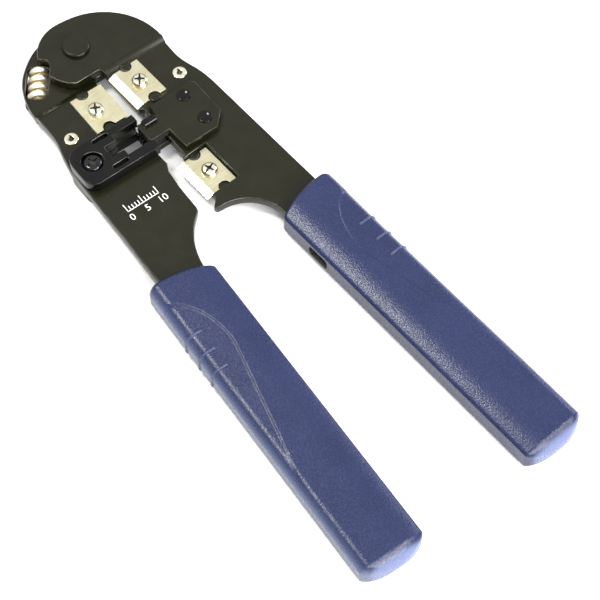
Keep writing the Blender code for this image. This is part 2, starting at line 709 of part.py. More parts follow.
# ---- plunger arm (swings) ---------------------------------------------------
def build_plunger_arm():
    shoulder = arc((SHOULDER_X, SHOULDER_Y), SHOULDER_R, *SHOULDER_ARC, 18)
    outline = outer_edge(shoulder, RAM_FLANK, RAM_ROOT) + tang_edge()
    outline += arc(HOOK_THROAT_AT, HOOK_THROAT_R, HOOK_THROAT_ARC[0], HOOK_THROAT_ARC[1], 14)
    outline += [HOOK_CHIN, HOOK_TIP, *HOOK_BROW, SHEAR_TOP]
    outline += [(GULLET_X, GULLET_LOW_Y), (GULLET_X, BLADE_IN_LOW - 1.0)]
    outline += [(BLADE_IN_X, BLADE_IN_LOW), (BLADE_IN_X - 0.4, JOG_LOW_Y - 0.6)]
    outline += [(STEP_IN_X + 0.2, JOG_TOP_Y)]
    outline += head_edge()
    bm = bmesh.new()
    add_prism(bm, outline, -FACE_Z, FACE_Z)
    step_plate(bm, 1.0)
    plate = finish(bm, "plunger_arm_plate", "black_steel")

    relief = bmesh.new()
    ring = spring_window(FIT, -SPRING_LEN / 2.0 - 3.5, SPRING_LEN / 2.0 + FIT)
    add_prism(relief, ring, -THROUGH + 1.0, THROUGH + 1.0)
    cut(plate, relief, "plunger_arm_spring_relief")

    low = -HEAD_SHIFT - FACE_Z + LUG_SHY
    high = FACE_Z - HEAD_SHIFT - LUG_ROOF - LUG_SHY
    for index, outline in enumerate(lug_outline()):
        lug = bmesh.new()
        add_prism(lug, outline, low + index * 0.1, high - index * 0.1)
        join(plate, lug, "plunger_arm_lug_%d" % index)
    post = bmesh.new()
    add_prism(post, lug_post(), low + 0.25, HEAD_SHIFT)
    join(plate, post, "plunger_arm_lug_post")

    pocket = bmesh.new()
    floor_z = FACE_Z - CUTTER_DROP - CUTTER_T
    half_w = BLADE_W / 2.0 + FIT
    half_l = BLADE_L / 2.0 + FIT
    box = box_points(-half_w - 4.0, half_w, -half_l, half_l)
    placed = [turn(p, MOVING_TILT) for p in box]
    placed = [(x + CUTTER_AT[0], y + CUTTER_AT[1]) for x, y in placed]
    add_prism(pocket, placed, floor_z, THROUGH - 2.0)
    cut(plate, pocket, "plunger_arm_pocket")

    for tag, at, top in (("blade", MOVING_AT, FACE_Z + BLADE_T - PIP_SHY),
                         ("cutter", CUTTER_AT, FACE_Z - CUTTER_DROP - PIP_SHY)):
        pips = bmesh.new()
        for share in (-1.0, 1.0):
            spot = blade_spot(at, MOVING_TILT, 1.0, share)
            add_round(pips, spot, PIP_R, -1.0, top, 20)
        join(plate, pips, "plunger_arm_pips_" + tag)

    holes = bmesh.new()
    add_round(holes, (0.0, 0.0), RIVET_R + RUN_FIT, -THROUGH, THROUGH, 48)
    for at in (MOVING_AT, CUTTER_AT):
        add_round(holes, blade_spot(at, MOVING_TILT, 1.0, 0.0), SCREW_R + FIT, -THROUGH, THROUGH)
    for at in RAM_RIVETS:
        add_round(holes, at, RAM_RIVET_R + FIT, -THROUGH, THROUGH)
    add_round(holes, RAM_PIN_AT, PIN_R + FIT, -THROUGH, THROUGH)
    cut(plate, holes, "plunger_arm_holes")
    return plate


def add_ram_plate(bm, z0, z1, tongue_x):
    half = TONGUE_W / 2.0
    points = [
        (RAM_LEFT_X, RAM_TOP_Y),
        (RAM_LEFT_X, NEST_MID_Y + half),
        (tongue_x + 0.6, NEST_MID_Y + half),
        (tongue_x, NEST_MID_Y + half - 0.6),
        (tongue_x, NEST_MID_Y - half + 0.6),
        (tongue_x + 0.6, NEST_MID_Y - half),
        (RAM_LEFT_X, NEST_MID_Y - half),
        (RAM_LEFT_X + 0.4, RAM_LOW_Y),
        (RAM_RIGHT_X - RAM_CHAMFER, RAM_LOW_Y),
        (RAM_RIGHT_X, RAM_LOW_Y + RAM_CHAMFER),
        (RAM_RIGHT_X, RAM_TOP_Y - 1.0),
        (RAM_RIGHT_X - 1.0, RAM_TOP_Y),
    ]
    add_prism(bm, points, z0, z1)


def build_plunger():
    for name, z0, z1 in (("plunger_plate_upper", FACE_Z, FACE_Z + RAM_T),
                         ("plunger_plate_lower", -FACE_Z - RAM_T, -FACE_Z)):
        bm = bmesh.new()
        add_ram_plate(bm, z0, z1, TONGUE_X)
        plate = finish(bm, name, "black_steel")
        holes = bmesh.new()
        for at in RAM_RIVETS:
            add_round(holes, at, RAM_RIVET_R + FIT, z0 - 1.0, z1 + 1.0)
        cut(plate, holes, name + "_holes")

    bm = bmesh.new()
    half = TONGUE_W / 2.0 - 0.1
    left = TONGUE_X + 0.4
    points = [(GULLET_X - FIT, NEST_MID_Y - half), (GULLET_X - FIT, NEST_MID_Y + half)]
    points += [(left, NEST_MID_Y + half)]
    first = (DRIVER_TEETH - 1) * TOOTH_PITCH / 2.0
    for i in range(DRIVER_TEETH):
        y = NEST_MID_Y + first - i * TOOTH_PITCH
        points += [(left, y + TOOTH_W / 2.0), (left - TOOTH_OUT, y + TOOTH_W / 2.0)]
        points += [(left - TOOTH_OUT, y - TOOTH_W / 2.0), (left, y - TOOTH_W / 2.0)]
    points += [(left, NEST_MID_Y - half)]
    add_prism(bm, points, -FACE_Z, FACE_Z)
    finish(bm, "contact_driver", "black_steel")

    bm = bmesh.new()
    y1 = NEST_MID_Y + TONGUE_W / 2.0 - 0.1
    z0 = FACE_Z + RAM_T
    section = [(y1 - BAR_W, z0), (y1, z0), (y1, z0 + BAR_H * 0.5)]
    section += [(y1 - BAR_W * 0.25, z0 + BAR_H * 0.9), (y1 - BAR_W * 0.6, z0 + BAR_H)]
    section += [(y1 - BAR_W, z0 + BAR_H * 0.6)]
    x0 = TONGUE_X + 1.6
    near = [bm.verts.new((x0 * MM, y * MM, z * MM)) for y, z in section]
    far = [bm.verts.new(((x0 + BAR_L) * MM, y * MM, z * MM)) for y, z in section]
    bm.faces.new(near)
    bm.faces.new(list(reversed(far)))
    for i in range(len(section)):
        j = (i + 1) % len(section)
        bm.faces.new((near[i], far[i], far[j], near[j]))
    finish(bm, "strain_relief_bar", "black_steel")

    for index, at in enumerate(RAM_RIVETS):
        outer = FACE_Z + RAM_T
        profile = [
            (0.0, -outer - RAM_RIVET_HEAD_H),
            (RAM_RIVET_HEAD_R * 0.85, -outer - RAM_RIVET_HEAD_H),
            (RAM_RIVET_HEAD_R, -outer),
            (RAM_RIVET_R, -outer),
            (RAM_RIVET_R, outer),
            (RAM_RIVET_HEAD_R, outer),
            (RAM_RIVET_HEAD_R * 0.85, outer + RAM_RIVET_HEAD_H),
            (0.0, outer + RAM_RIVET_HEAD_H),
        ]
        bm = bmesh.new()
        add_turned(bm, at, profile, 20)
        finish(bm, "plunger_rivet_%d" % (index + 1), "black_steel")


# ---- grips ------------------------------------------------------------------
def grip_section(out_x, in_x, half):
    """Rounded cross-section of a grip as (across, height), from its outer side round."""
    out_r = min(GRIP_OUT_R, half * 0.98)
    in_r = min(GRIP_IN_R, half * 0.98)
    points = arc((out_x - out_r, half - out_r), out_r, 0, 90, 4)
    points += arc((in_x + in_r, half - in_r), in_r, 90, 180, 3)
    points += arc((in_x + in_r, in_r - half), in_r, 180, 270, 3)
    points += arc((out_x - out_r, out_r - half), out_r, 270, 360, 4)
    return points


def mouth_bow(x, down):
    """How far the mouth's bow moves a point of the grip down its length."""
    if x > MOUTH_FLAT_X or down > MOUTH_BLEND:
        return 0.0
    share = (MOUTH_FLAT_X - x) / (MOUTH_FLAT_X + GRIP_W / 2.0)
    return MOUTH_DROP * share * share * (1.0 - down / MOUTH_BLEND)


def grip_stations():
    """(distance down, outer inset, inner inset, height inset) along a grip."""
    stations = list(MOUTH_EDGE)
    body = GRIP_L - GRIP_DOME
    stations += [(body * share, 0.0, 0.0, 0.0) for share in (0.08, 0.17, 0.32, 0.66, 1.0)]
    for degrees in (20.0, 40.0, 58.0, 74.0):
        a = math.radians(degrees)
        shrink = 1.0 - math.cos(a)
        narrow = GRIP_DOME_IN * shrink
        stations.append((body + GRIP_DOME * math.sin(a), narrow, narrow * 0.6, GRIP_H / 2.0 * shrink))
    return stations


def build_grip(name, side):
    bm = bmesh.new()
    rings = []
    for down, out_in, in_in, flat in grip_stations():
        ring = []
        for x, z in grip_section(GRIP_W / 2.0 - out_in, in_in - GRIP_W / 2.0, GRIP_H / 2.0 - flat):
            px, py = grip_point(x, -down - mouth_bow(x, down), side)
            ring.append(bm.verts.new((px * MM, py * MM, z * MM)))
        rings.append(ring)
    for a, b in zip(rings, rings[1:]):
        for i in range(len(a)):
            j = (i + 1) % len(a)
            bm.faces.new((a[i], a[j], b[j], b[i]))
    bm.faces.new(rings[0])
    bm.faces.new(list(reversed(rings[-1])))
    grip = finish(bm, name, "grip_plastic")

    pocket = bmesh.new()
    near = TANG_IN - FIT
    local = [
        (TANG_OUT + 2.0 * FIT, 8.0),
        (TANG_OUT + 2.0 * FIT, TANG_BARB_Y - 0.4),
        (TANG_HALF + FIT, TANG_BARB_Y - 6.3),
        (TANG_HALF + FIT, TANG_LOW - FIT),
        (-TANG_HALF - FIT, TANG_LOW - FIT),
        (-TANG_HALF - FIT, TANG_BARB_Y - 3.0),
        (near, TANG_BARB_Y + 1.0),
        (near, -6.5),
        (near - 0.7, -3.0),
        (near - 0.7, 8.0),
    ]
    placed = [grip_point(x, y, side) for x, y in local]
    add_prism(pocket, placed, -FACE_Z - FIT, FACE_Z + FIT)
    cut(grip, pocket, name + "_tang_pocket")
    peep = bmesh.new()
    local = box_points(-GRIP_W, TANG_IN + 0.4, PEEP_Y[0], PEEP_Y[1])
    placed = [grip_point(x, y, side) for x, y in local]
    add_prism(peep, placed, -PEEP_H / 2.0, PEEP_H / 2.0)
    cut(grip, peep, name + "_peep_hole")
    return grip


def main():
    clear_scene()
    build_die_arm()
    build_nest()
    build_blade("fixed_strip_blade", FIXED_AT, 0.0, True, FACE_Z, BLADE_T, False)
    build_pin("die_arm_pin", DIE_PIN_AT)
    build_rivet()
    build_spring()
    build_grip("die_arm_grip", -1)
    build_plunger_arm()
    build_blade("moving_strip_blade", MOVING_AT, MOVING_TILT, False, FACE_Z, BLADE_T, True)
    cutter_seat = FACE_Z - CUTTER_DROP - CUTTER_T
    build_blade("cutter_blade", CUTTER_AT, MOVING_TILT, False, cutter_seat, CUTTER_T, True)
    build_plunger()
    build_pin("plunger_arm_pin", RAM_PIN_AT)
    build_grip("plunger_arm_grip", 1)


main()
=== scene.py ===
# %% [markdown]
# A hand crimping tool for small modular plugs, lying open on a pale table. The steel arms, blades, screws
# and grips are already placed and sized as plain solids, which the first cell brings in from model.glb as
# the frame.
# This script gives each piece its finished surface: rolled edges, turned heads, wound wire, moulded
# sleeves and the right material. Nothing here moves a piece; new pieces are built in the frame's place.

# %% Load the frame
import json
import math

import bmesh
import bpy
from mathutils import Matrix, Vector


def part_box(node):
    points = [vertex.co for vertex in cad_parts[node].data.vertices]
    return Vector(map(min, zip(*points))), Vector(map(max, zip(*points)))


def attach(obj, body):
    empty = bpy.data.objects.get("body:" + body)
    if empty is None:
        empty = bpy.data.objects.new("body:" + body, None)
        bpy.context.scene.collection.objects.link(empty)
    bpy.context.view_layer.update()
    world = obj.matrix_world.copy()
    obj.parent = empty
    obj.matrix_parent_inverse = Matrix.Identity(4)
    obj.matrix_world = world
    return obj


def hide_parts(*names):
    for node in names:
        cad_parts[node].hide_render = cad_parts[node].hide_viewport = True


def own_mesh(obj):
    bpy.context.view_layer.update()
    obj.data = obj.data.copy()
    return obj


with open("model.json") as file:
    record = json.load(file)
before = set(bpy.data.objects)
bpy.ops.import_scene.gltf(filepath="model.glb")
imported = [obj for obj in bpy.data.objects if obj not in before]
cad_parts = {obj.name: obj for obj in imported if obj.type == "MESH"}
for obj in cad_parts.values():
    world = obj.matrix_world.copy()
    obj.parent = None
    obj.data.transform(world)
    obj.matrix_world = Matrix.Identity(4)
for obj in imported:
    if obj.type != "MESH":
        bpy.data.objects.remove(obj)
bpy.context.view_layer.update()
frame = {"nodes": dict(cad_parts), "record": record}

MM = 0.001
print("frame pieces:", len(frame["nodes"]))

# %% [markdown]
# Lengths are written in millimetres, as a maker reads them, and turned into metres by one constant.
# Colours are written as the hex values a paint chart gives. Shaders work in linear light, so one
# function converts them; without it every colour would come out too pale.


# %% Millimetres and colours
def linear(hex_code):
    """sRGB hex such as '#36407A' as a linear colour with alpha."""
    values = [int(hex_code[i:i + 2], 16) / 255.0 for i in (1, 3, 5)]
    curve = [v / 12.92 if v <= 0.04045 else ((v + 0.055) / 1.055) ** 2.4 for v in values]
    return (*curve, 1.0)


def per_mm(size):
    """Pattern scale whose features are about this many millimetres wide."""
    return 1.0 / (size * MM)


print("mid grey in linear light:", round(linear("#808080")[0], 3))

# %% [markdown]
# A camera belongs at the start, because every shape is judged through it. The tool is seen from its
# lower left and from well above, so the near edges of the blocks and the side of each grip show. A long
# lens from half a metre keeps the two grips nearly parallel, as the eye expects of a small hand tool.

# %% Camera
CAMERA_AT = (-156.345, -306.045, 447.658)
CAMERA_AIM = (0.679, -102.880, 4.70)
LENS_MM = 116.58
SENSOR_MM = 36.0

camera_data = bpy.data.cameras.new("camera")
camera_data.lens = LENS_MM
camera_data.sensor_width = SENSOR_MM
camera = bpy.data.objects.new("camera", camera_data)
bpy.context.scene.collection.objects.link(camera)
camera.location = Vector(CAMERA_AT) * MM
look = (Vector(CAMERA_AIM) - Vector(CAMERA_AT)).normalized()
camera.rotation_euler = look.to_track_quat("-Z", "Y").to_euler()
bpy.context.scene.camera = camera
bpy.context.scene.view_settings.view_transform = "Standard"
print("camera looks down at", round(math.degrees(math.asin(-look.z)), 1), "degrees")

# %% [markdown]
# Black lacquer and bright steel show mostly what they reflect, so the light is the other half of their
# look. The room is bright above and dim towards the horizon, as over a studio table: flat tops read calm,
# walls and slopes stay dark. One wide soft panel in front draws the thin bright lines along rolled
# edges, and one high at the far left catches the grain of the grips. A third, in front on the right,
# lights the pressed step of the upper arm, and a weak cool one fills the walls that face right.

# %% Soft studio light
SKY_TOP = "#F8F9FC"
SKY_LOW = "#6E7076"
SKY_STRENGTH = 1.25
SKY_RISE = (0.22, 0.62)
TOOL_MIDDLE = (0.0, -90.0, 0.0)


def aim_panel(name, at, size, power, colour):
    """Soft light panel that faces the tool; place, width and height in millimetres."""
    lamp = bpy.data.lights.new(name, "AREA")
    lamp.shape = "RECTANGLE"
    lamp.size = size[0] * MM
    lamp.size_y = size[1] * MM
    lamp.energy = power
    lamp.color = linear(colour)[:3]
    panel = bpy.data.objects.new(name, lamp)
    bpy.context.scene.collection.objects.link(panel)
    panel.location = Vector(at) * MM
    away = Vector(TOOL_MIDDLE) * MM - panel.location
    panel.rotation_euler = away.to_track_quat("-Z", "Y").to_euler()


aim_panel("panel_front", (-40.0, -860.0, 470.0), (760.0, 300.0), 13.0, "#FFFFFF")
aim_panel("panel_far_left", (-190.0, 275.0, 820.0), (170.0, 170.0), 6.0, "#FFFDF6")
aim_panel("panel_low_right", (290.0, -620.0, 670.0), (200.0, 200.0), 4.2, "#FFF8F2")
aim_panel("panel_right", (760.0, -60.0, 330.0), (300.0, 200.0), 3.0, "#EEF2FF")
print("lights:", len(bpy.data.lights))

# %% [markdown]
# Every material here is a small network of nodes. Adding a node always means the same steps: make it,
# set its options, fill its inputs with numbers or with another node's output. One helper does that, so
# each finish below reads as a list of what feeds what. Its first use is the room's own light, which
# runs from dim at the horizon to bright overhead.


# %% Adding one shader node
def add_node(tree, kind, inputs=None, **settings):
    """A new node; inputs maps a socket's name or number to a value or to another node's output."""
    made = tree.nodes.new(kind)
    for name, value in settings.items():
        setattr(made, name, value)
    for name, value in (inputs or {}).items():
        if isinstance(value, bpy.types.NodeSocket):
            tree.links.new(value, made.inputs[name])
        else:
            made.inputs[name].default_value = value
    return made


def blend_colours(tree, share, first, second):
    """Colour that runs from first to second as share goes from 0 to 1."""
    mix = add_node(tree, "ShaderNodeMix", {"Factor": share}, data_type="RGBA")
    for socket, colour in ((mix.inputs[6], first), (mix.inputs[7], second)):
        if isinstance(colour, bpy.types.NodeSocket):
            tree.links.new(colour, socket)
        else:
            socket.default_value = linear(colour)
    return mix.outputs[2]


def spread(tree, value, low, high, new_low, new_high):
    """Value stretched from one range to another and held there."""
    rng = add_node(tree, "ShaderNodeMapRange",
                   {0: value, 1: low, 2: high, 3: new_low, 4: new_high}, clamp=True)
    return rng.outputs[0]


def start_material(name):
    """Empty material; returns it with its tree, its shader and the object coordinates."""
    made = bpy.data.materials.new(name)
    made.use_nodes = True
    tree = made.node_tree
    shader = tree.nodes["Principled BSDF"]
    place = add_node(tree, "ShaderNodeTexCoord").outputs["Object"]
    return made, tree, shader, place


world = bpy.data.worlds.new("studio")
world.use_nodes = True
room = world.node_tree
sky = room.nodes["Background"]
height = add_node(room, "ShaderNodeSeparateXYZ",
                  {0: add_node(room, "ShaderNodeTexCoord").outputs["Generated"]}).outputs["Z"]
room.links.new(blend_colours(room, spread(room, height, *SKY_RISE, 0.0, 1.0), SKY_LOW, SKY_TOP),
               sky.inputs["Color"])
sky.inputs["Strength"].default_value = SKY_STRENGTH
bpy.context.scene.world = world
print("room light set, nodes:", len(room.nodes))

# %% [markdown]
# The arms are pressed steel with a black oxide and a thin clear lacquer: dark greenish grey, calm on the
# flats, with a bright line wherever an edge rolls over. Lacquer is a dielectric, so metallic stays low and
# the reflection comes from its ordinary gloss. A fine orange peel and slow changes of gloss keep it from
# looking like plastic. On marked edges a pale bare-steel tint and metal shine show through: partly wear,
# partly a painted highlight for the bright edge lines.

# %% Lacquered black steel
PEEL_MM = 0.55
SMUDGE_MM = 7.0
GRIT_MM = 0.16
GRIT_TINT = "#3A3A2E"
# Pale bare-steel tint on marked edges: partly wear, partly painted highlight.
BARE_STEEL_AND_HIGHLIGHT = "#9C9A94"


def black_steel(name, dark, light, gloss_low, gloss_high, rub_and_highlight, shine):
    """Oxide-blackened steel under lacquer; the argument after the gloss range sets how far pale bare steel
    shows on marked edges, partly wear and partly a painted highlight, and shine is the lacquer.
    """
    made, tree, shader, place = start_material(name)
    smudge = add_node(tree, "ShaderNodeTexNoise",
                      {"Vector": place, "Scale": per_mm(SMUDGE_MM), "Detail": 4.0, "Roughness": 0.6})
    peel = add_node(tree, "ShaderNodeTexNoise",
                    {"Vector": place, "Scale": per_mm(PEEL_MM), "Detail": 3.0, "Roughness": 0.55})
    grit = add_node(tree, "ShaderNodeTexNoise",
                    {"Vector": place, "Scale": per_mm(GRIT_MM), "Detail": 2.0, "Roughness": 0.6})
    # Partly wear, partly painted highlight: marked edge points blend to the pale bare-steel tint and metal
    # shine.
    wear_and_highlight = add_node(tree, "ShaderNodeAttribute", attribute_name="wear_and_highlight")
    broken = add_node(tree, "ShaderNodeMath", {0: wear_and_highlight.outputs["Fac"], 1: smudge.outputs[0]},
                      operation="MULTIPLY")
    bare_and_highlight = spread(tree, broken.outputs[0], 0.36, 0.66, 0.0, rub_and_highlight)
    skin = blend_colours(tree, spread(tree, smudge.outputs[0], 0.35, 0.65, 0.0, 1.0), dark, light)
    skin = blend_colours(tree, spread(tree, grit.outputs[0], 0.62, 0.78, 0.0, 0.12), skin, GRIT_TINT)
    tree.links.new(blend_colours(tree, bare_and_highlight, skin, BARE_STEEL_AND_HIGHLIGHT), shader.inputs["Base Color"])
    gloss = add_node(tree, "ShaderNodeMath", {0: smudge.outputs[0], 1: grit.outputs[0]}, operation="ADD")
    tree.links.new(spread(tree, gloss.outputs[0], 0.75, 1.25, gloss_low, gloss_high),
                   shader.inputs["Roughness"])
    tree.links.new(bare_and_highlight, shader.inputs["Metallic"])
    shader.inputs["Specular IOR Level"].default_value = shine
    waves = add_node(tree, "ShaderNodeBump",
                     {"Strength": 0.35, "Distance": 0.02 * MM, "Height": peel.outputs[0]})
    fine = add_node(tree, "ShaderNodeBump",
                    {"Strength": 0.25, "Distance": 0.006 * MM, "Height": grit.outputs[0],
                     "Normal": waves.outputs[0]})
    tree.links.new(fine.outputs[0], shader.inputs["Normal"])
    return made


arm_black = black_steel("lacquered_black_steel", "#121205", "#151508", 0.2, 0.3, 0.6, 0.25)
nest_black = black_steel("gloss_black_casting", "#070706", "#0B0B09", 0.12, 0.2, 0.5, 0.2)
print("black finishes:", arm_black.name, nest_black.name)

# %% [markdown]
# Blades are hardened tool steel, ground flat and then left bright, with a faint straw tint from the
# tempering. Grinding leaves very fine parallel lines, so the noise is stretched many times longer one
# way than the other. The real lines are about 0.05 mm apart; they are drawn at 0.14 mm so they show.

# %% Ground tool steel
GRIND_MM = 0.14
GRIND_RUN_MM = 9.0
GRIND_SHADE = "#A8A280"
STRAW_PATCH_MM = 4.0


def ground_steel(name, pale, straw, turn_deg, gloss):
    """Bright ground steel with its grinding lines turned by this angle."""
    made, tree, shader, place = start_material(name)
    lay = add_node(tree, "ShaderNodeMapping",
                   {"Vector": place, "Rotation": (0.0, 0.0, math.radians(turn_deg)),
                    "Scale": (per_mm(GRIND_RUN_MM), per_mm(GRIND_MM), per_mm(GRIND_MM))})
    lines = add_node(tree, "ShaderNodeTexNoise",
                     {"Vector": lay.outputs[0], "Scale": 1.0, "Detail": 3.0, "Roughness": 0.7})
    cloud = add_node(tree, "ShaderNodeTexNoise",
                     {"Vector": place, "Scale": per_mm(STRAW_PATCH_MM), "Detail": 4.0, "Roughness": 0.6})
    tint = blend_colours(tree, spread(tree, cloud.outputs[0], 0.35, 0.68, 0.0, 1.0), pale, straw)
    tint = blend_colours(tree, spread(tree, lines.outputs[0], 0.56, 0.8, 0.0, 0.35), tint, GRIND_SHADE)
    tree.links.new(tint, shader.inputs["Base Color"])
    shader.inputs["Metallic"].default_value = 1.0
    tree.links.new(spread(tree, lines.outputs[0], 0.3, 0.75, gloss, gloss + 0.16),
                   shader.inputs["Roughness"])
    dent = add_node(tree, "ShaderNodeBump",
                    {"Strength": 0.3, "Distance": 0.008 * MM, "Height": lines.outputs[0]})
    tree.links.new(dent.outputs[0], shader.inputs["Normal"])
    return made


blade_steel = ground_steel("ground_tool_steel", "#CAC5A8", "#BCB592", 38.0, 0.24)
print("blade finish:", blade_steel.name)

# %% [markdown]
# The return spring is round wire, zinc plated with a yellow passivation: warm, slightly iridescent and
# very shiny. The screws and the tubular pins carry plain bright nickel instead. Both are metals, so the
# colour sits in the reflection, and small stains and drawing marks break it up.

# %% Plated wire and screws
STAIN_MM = 1.8
SPECK_MM = 0.35


def plated(name, main, stain, pink, gloss):
    """Shiny plating with stains of two other tints."""
    made, tree, shader, place = start_material(name)
    film = add_node(tree, "ShaderNodeTexNoise",
                    {"Vector": place, "Scale": per_mm(STAIN_MM), "Detail": 3.0, "Roughness": 0.55})
    specks = add_node(tree, "ShaderNodeTexNoise",
                      {"Vector": place, "Scale": per_mm(SPECK_MM), "Detail": 3.0, "Roughness": 0.7})
    tint = blend_colours(tree, spread(tree, film.outputs[0], 0.42, 0.62, 0.0, 1.0), main, stain)
    tint = blend_colours(tree, spread(tree, film.outputs[0], 0.36, 0.46, 0.8, 0.0), tint, pink)
    tree.links.new(tint, shader.inputs["Base Color"])
    shader.inputs["Metallic"].default_value = 1.0
    tree.links.new(spread(tree, specks.outputs[0], 0.35, 0.7, gloss, gloss + 0.14),
                   shader.inputs["Roughness"])
    marks = add_node(tree, "ShaderNodeBump",
                     {"Strength": 0.2, "Distance": 0.01 * MM, "Height": specks.outputs[0]})
    tree.links.new(marks.outputs[0], shader.inputs["Normal"])
    return made


wire_zinc = plated("yellow_zinc_wire", "#FAF3DC", "#EDE2BC", "#F2E8E0", 0.34)
screw_nickel = plated("bright_nickel", "#E6E1C8", "#CFC8AC", "#DAD6CC", 0.14)
screw_black = black_steel("black_zinc_screw", "#060608", "#0A0A0E", 0.08, 0.16, 0.3, 0.4)
print("plated finishes:", wire_zinc.name, screw_nickel.name, screw_black.name)

# %% [markdown]
# Recesses, bores and cut openings get a dark, dull coat. It is painted shade: it stands for the shade that
# falls inside them, and makes a screw's cross readable at arm's length. The printed rule uses a white
# screen-printing ink, slightly worn and mottled.


# %% Painted recess shade and printing ink
def dull(name, main, patch, size, gloss):
    """Dull mottled coating whose patches are about this many millimetres wide."""
    made, tree, shader, place = start_material(name)
    blotch = add_node(tree, "ShaderNodeTexNoise",
                      {"Vector": place, "Scale": per_mm(size), "Detail": 4.0, "Roughness": 0.65})
    tree.links.new(blend_colours(tree, spread(tree, blotch.outputs[0], 0.4, 0.65, 0.0, 1.0), main, patch),
                   shader.inputs["Base Color"])
    tree.links.new(spread(tree, blotch.outputs[0], 0.3, 0.7, gloss, gloss + 0.2),
                   shader.inputs["Roughness"])
    lumps = add_node(tree, "ShaderNodeBump",
                     {"Strength": 0.3, "Distance": 0.02 * MM, "Height": blotch.outputs[0]})
    tree.links.new(lumps.outputs[0], shader.inputs["Normal"])
    return made


# Painted shade: a dark, dull coat for faces inside recesses, bores and cut openings.
recess_shade = dull("painted_recess_shade", "#15140F", "#2B281E", 0.4, 0.45)
print_white = dull("white_printing_ink", "#DDDDD8", "#B9B9B2", 0.5, 0.5)
print("coatings:", recess_shade.name, print_white.name)

# %% [markdown]
# The grips are injection-moulded polypropylene, dark blue, from a mould with a spark-eroded texture. The
# grain is only about 0.15 mm, so it is drawn near 0.4 mm to show. Where the crown turns towards the light,
# single grains flash and give the sparkling band. The ribs, the outer side and the end get a paler blue
# tint, which is a painted highlight for the light these faces catch.

# %% Spark-textured moulded grips
GRAIN_MM = 0.42
GRIP_CLOUD_MM = 14.0
GRIP_SPECK_MM = 1.1
GRIP_CLOUD_TINT = "#1D2443"
GRAIN_TINT = "#293051"
GRIP_SPECK_TINT = "#343C60"


def moulded(name, deep, painted_highlight_tint):
    """Dark blue moulded plastic with a spark-eroded grain, and a paler tint on marked points as a painted
    highlight.
    """
    made, tree, shader, place = start_material(name)
    grain = add_node(tree, "ShaderNodeTexNoise",
                     {"Vector": place, "Scale": per_mm(GRAIN_MM), "Detail": 2.0, "Roughness": 0.5})
    cloud = add_node(tree, "ShaderNodeTexNoise",
                     {"Vector": place, "Scale": per_mm(GRIP_CLOUD_MM), "Detail": 3.0, "Roughness": 0.5})
    specks = add_node(tree, "ShaderNodeTexVoronoi",
                      {"Vector": place, "Scale": per_mm(GRIP_SPECK_MM)}, feature="F1")
    wear_and_highlight = add_node(tree, "ShaderNodeAttribute", attribute_name="wear_and_highlight")
    tint = blend_colours(tree, spread(tree, cloud.outputs[0], 0.3, 0.7, 0.0, 1.0), deep,
                         GRIP_CLOUD_TINT)
    tint = blend_colours(tree, spread(tree, grain.outputs[0], 0.45, 0.75, 0.0, 0.5), tint, GRAIN_TINT)
    tint = blend_colours(tree, spread(tree, specks.outputs[0], 0.0, 0.16, 0.3, 0.0), tint,
                         GRIP_SPECK_TINT)
    # Painted highlight: a paler blue where the points are marked.
    tint = blend_colours(tree, spread(tree, wear_and_highlight.outputs["Fac"], 0.0, 1.0, 0.0, 0.6), tint, painted_highlight_tint)
    tree.links.new(tint, shader.inputs["Base Color"])
    tree.links.new(spread(tree, grain.outputs[0], 0.3, 0.7, 0.2, 0.34), shader.inputs["Roughness"])
    shader.inputs["IOR"].default_value = 1.49
    shader.inputs["Specular IOR Level"].default_value = 0.3
    rough = add_node(tree, "ShaderNodeBump",
                     {"Strength": 1.0, "Distance": 0.085 * MM, "Height": grain.outputs[0]})
    tree.links.new(rough.outputs[0], shader.inputs["Normal"])
    return made


# The last tint is the paler blue of the painted highlight.
grip_blue = moulded("spark_textured_polypropylene", "#181F3C", "#747EA2")
print("grip finish:", grip_blue.name)

# %% [markdown]
# A solid from the frame has knife-sharp edges, and no pressed or cast part has those: the punch rolls one
# side over and the lacquer rounds the rest. So each steel piece is copied, its loose triangles are merged
# back into clean faces, and the long edges between a flat and a wall are bevelled by a few tenths of a
# millimetre. The middle of each bevel is marked, and the black finish gives it a pale bare-steel tint that
# is partly wear and partly a painted highlight.

# %% Copying a frame piece with rolled edges
WELD = 0.004 * MM
FLAT_COS = 0.72
WALL_COS = 0.42


def settle(bm, name, finish, body, replaced=(), smooth_deg=40.0):
    """Turn a finished bmesh into a piece that rides on a body and stands for frame pieces."""
    mesh = bpy.data.meshes.new(name)
    bm.to_mesh(mesh)
    bm.free()
    mesh.shade_smooth()
    mesh.set_sharp_from_angle(angle=math.radians(smooth_deg))
    mesh.materials.clear()
    mesh.materials.append(finish)
    piece = bpy.data.objects.new(name, mesh)
    bpy.context.scene.collection.objects.link(piece)
    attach(piece, body)
    if replaced:
        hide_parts(*replaced)
    return piece


def body_of(node_name):
    """Name of the body that a frame piece rides on."""
    members = frame["record"]["behaviour"]["bodies"]
    return next(body for body, names in members.items() if node_name in names)


def merged_copy(node_name):
    """A frame piece as one clean closed bmesh."""
    bm = bmesh.new()
    bm.from_mesh(frame["nodes"][node_name].data)
    bmesh.ops.remove_doubles(bm, verts=bm.verts, dist=WELD)
    bmesh.ops.dissolve_limit(bm, angle_limit=math.radians(1.0), use_dissolve_boundaries=False,
                             verts=bm.verts, edges=bm.edges, delimit=set())
    bm.normal_update()
    return bm


def is_rim(edge):
    """True for an outward edge between a flat face and an upright wall."""
    if len(edge.link_faces) != 2 or not edge.is_convex:
        return False
    tilts = sorted(abs(face.normal.z) for face in edge.link_faces)
    return tilts[0] < WALL_COS and tilts[1] > FLAT_COS


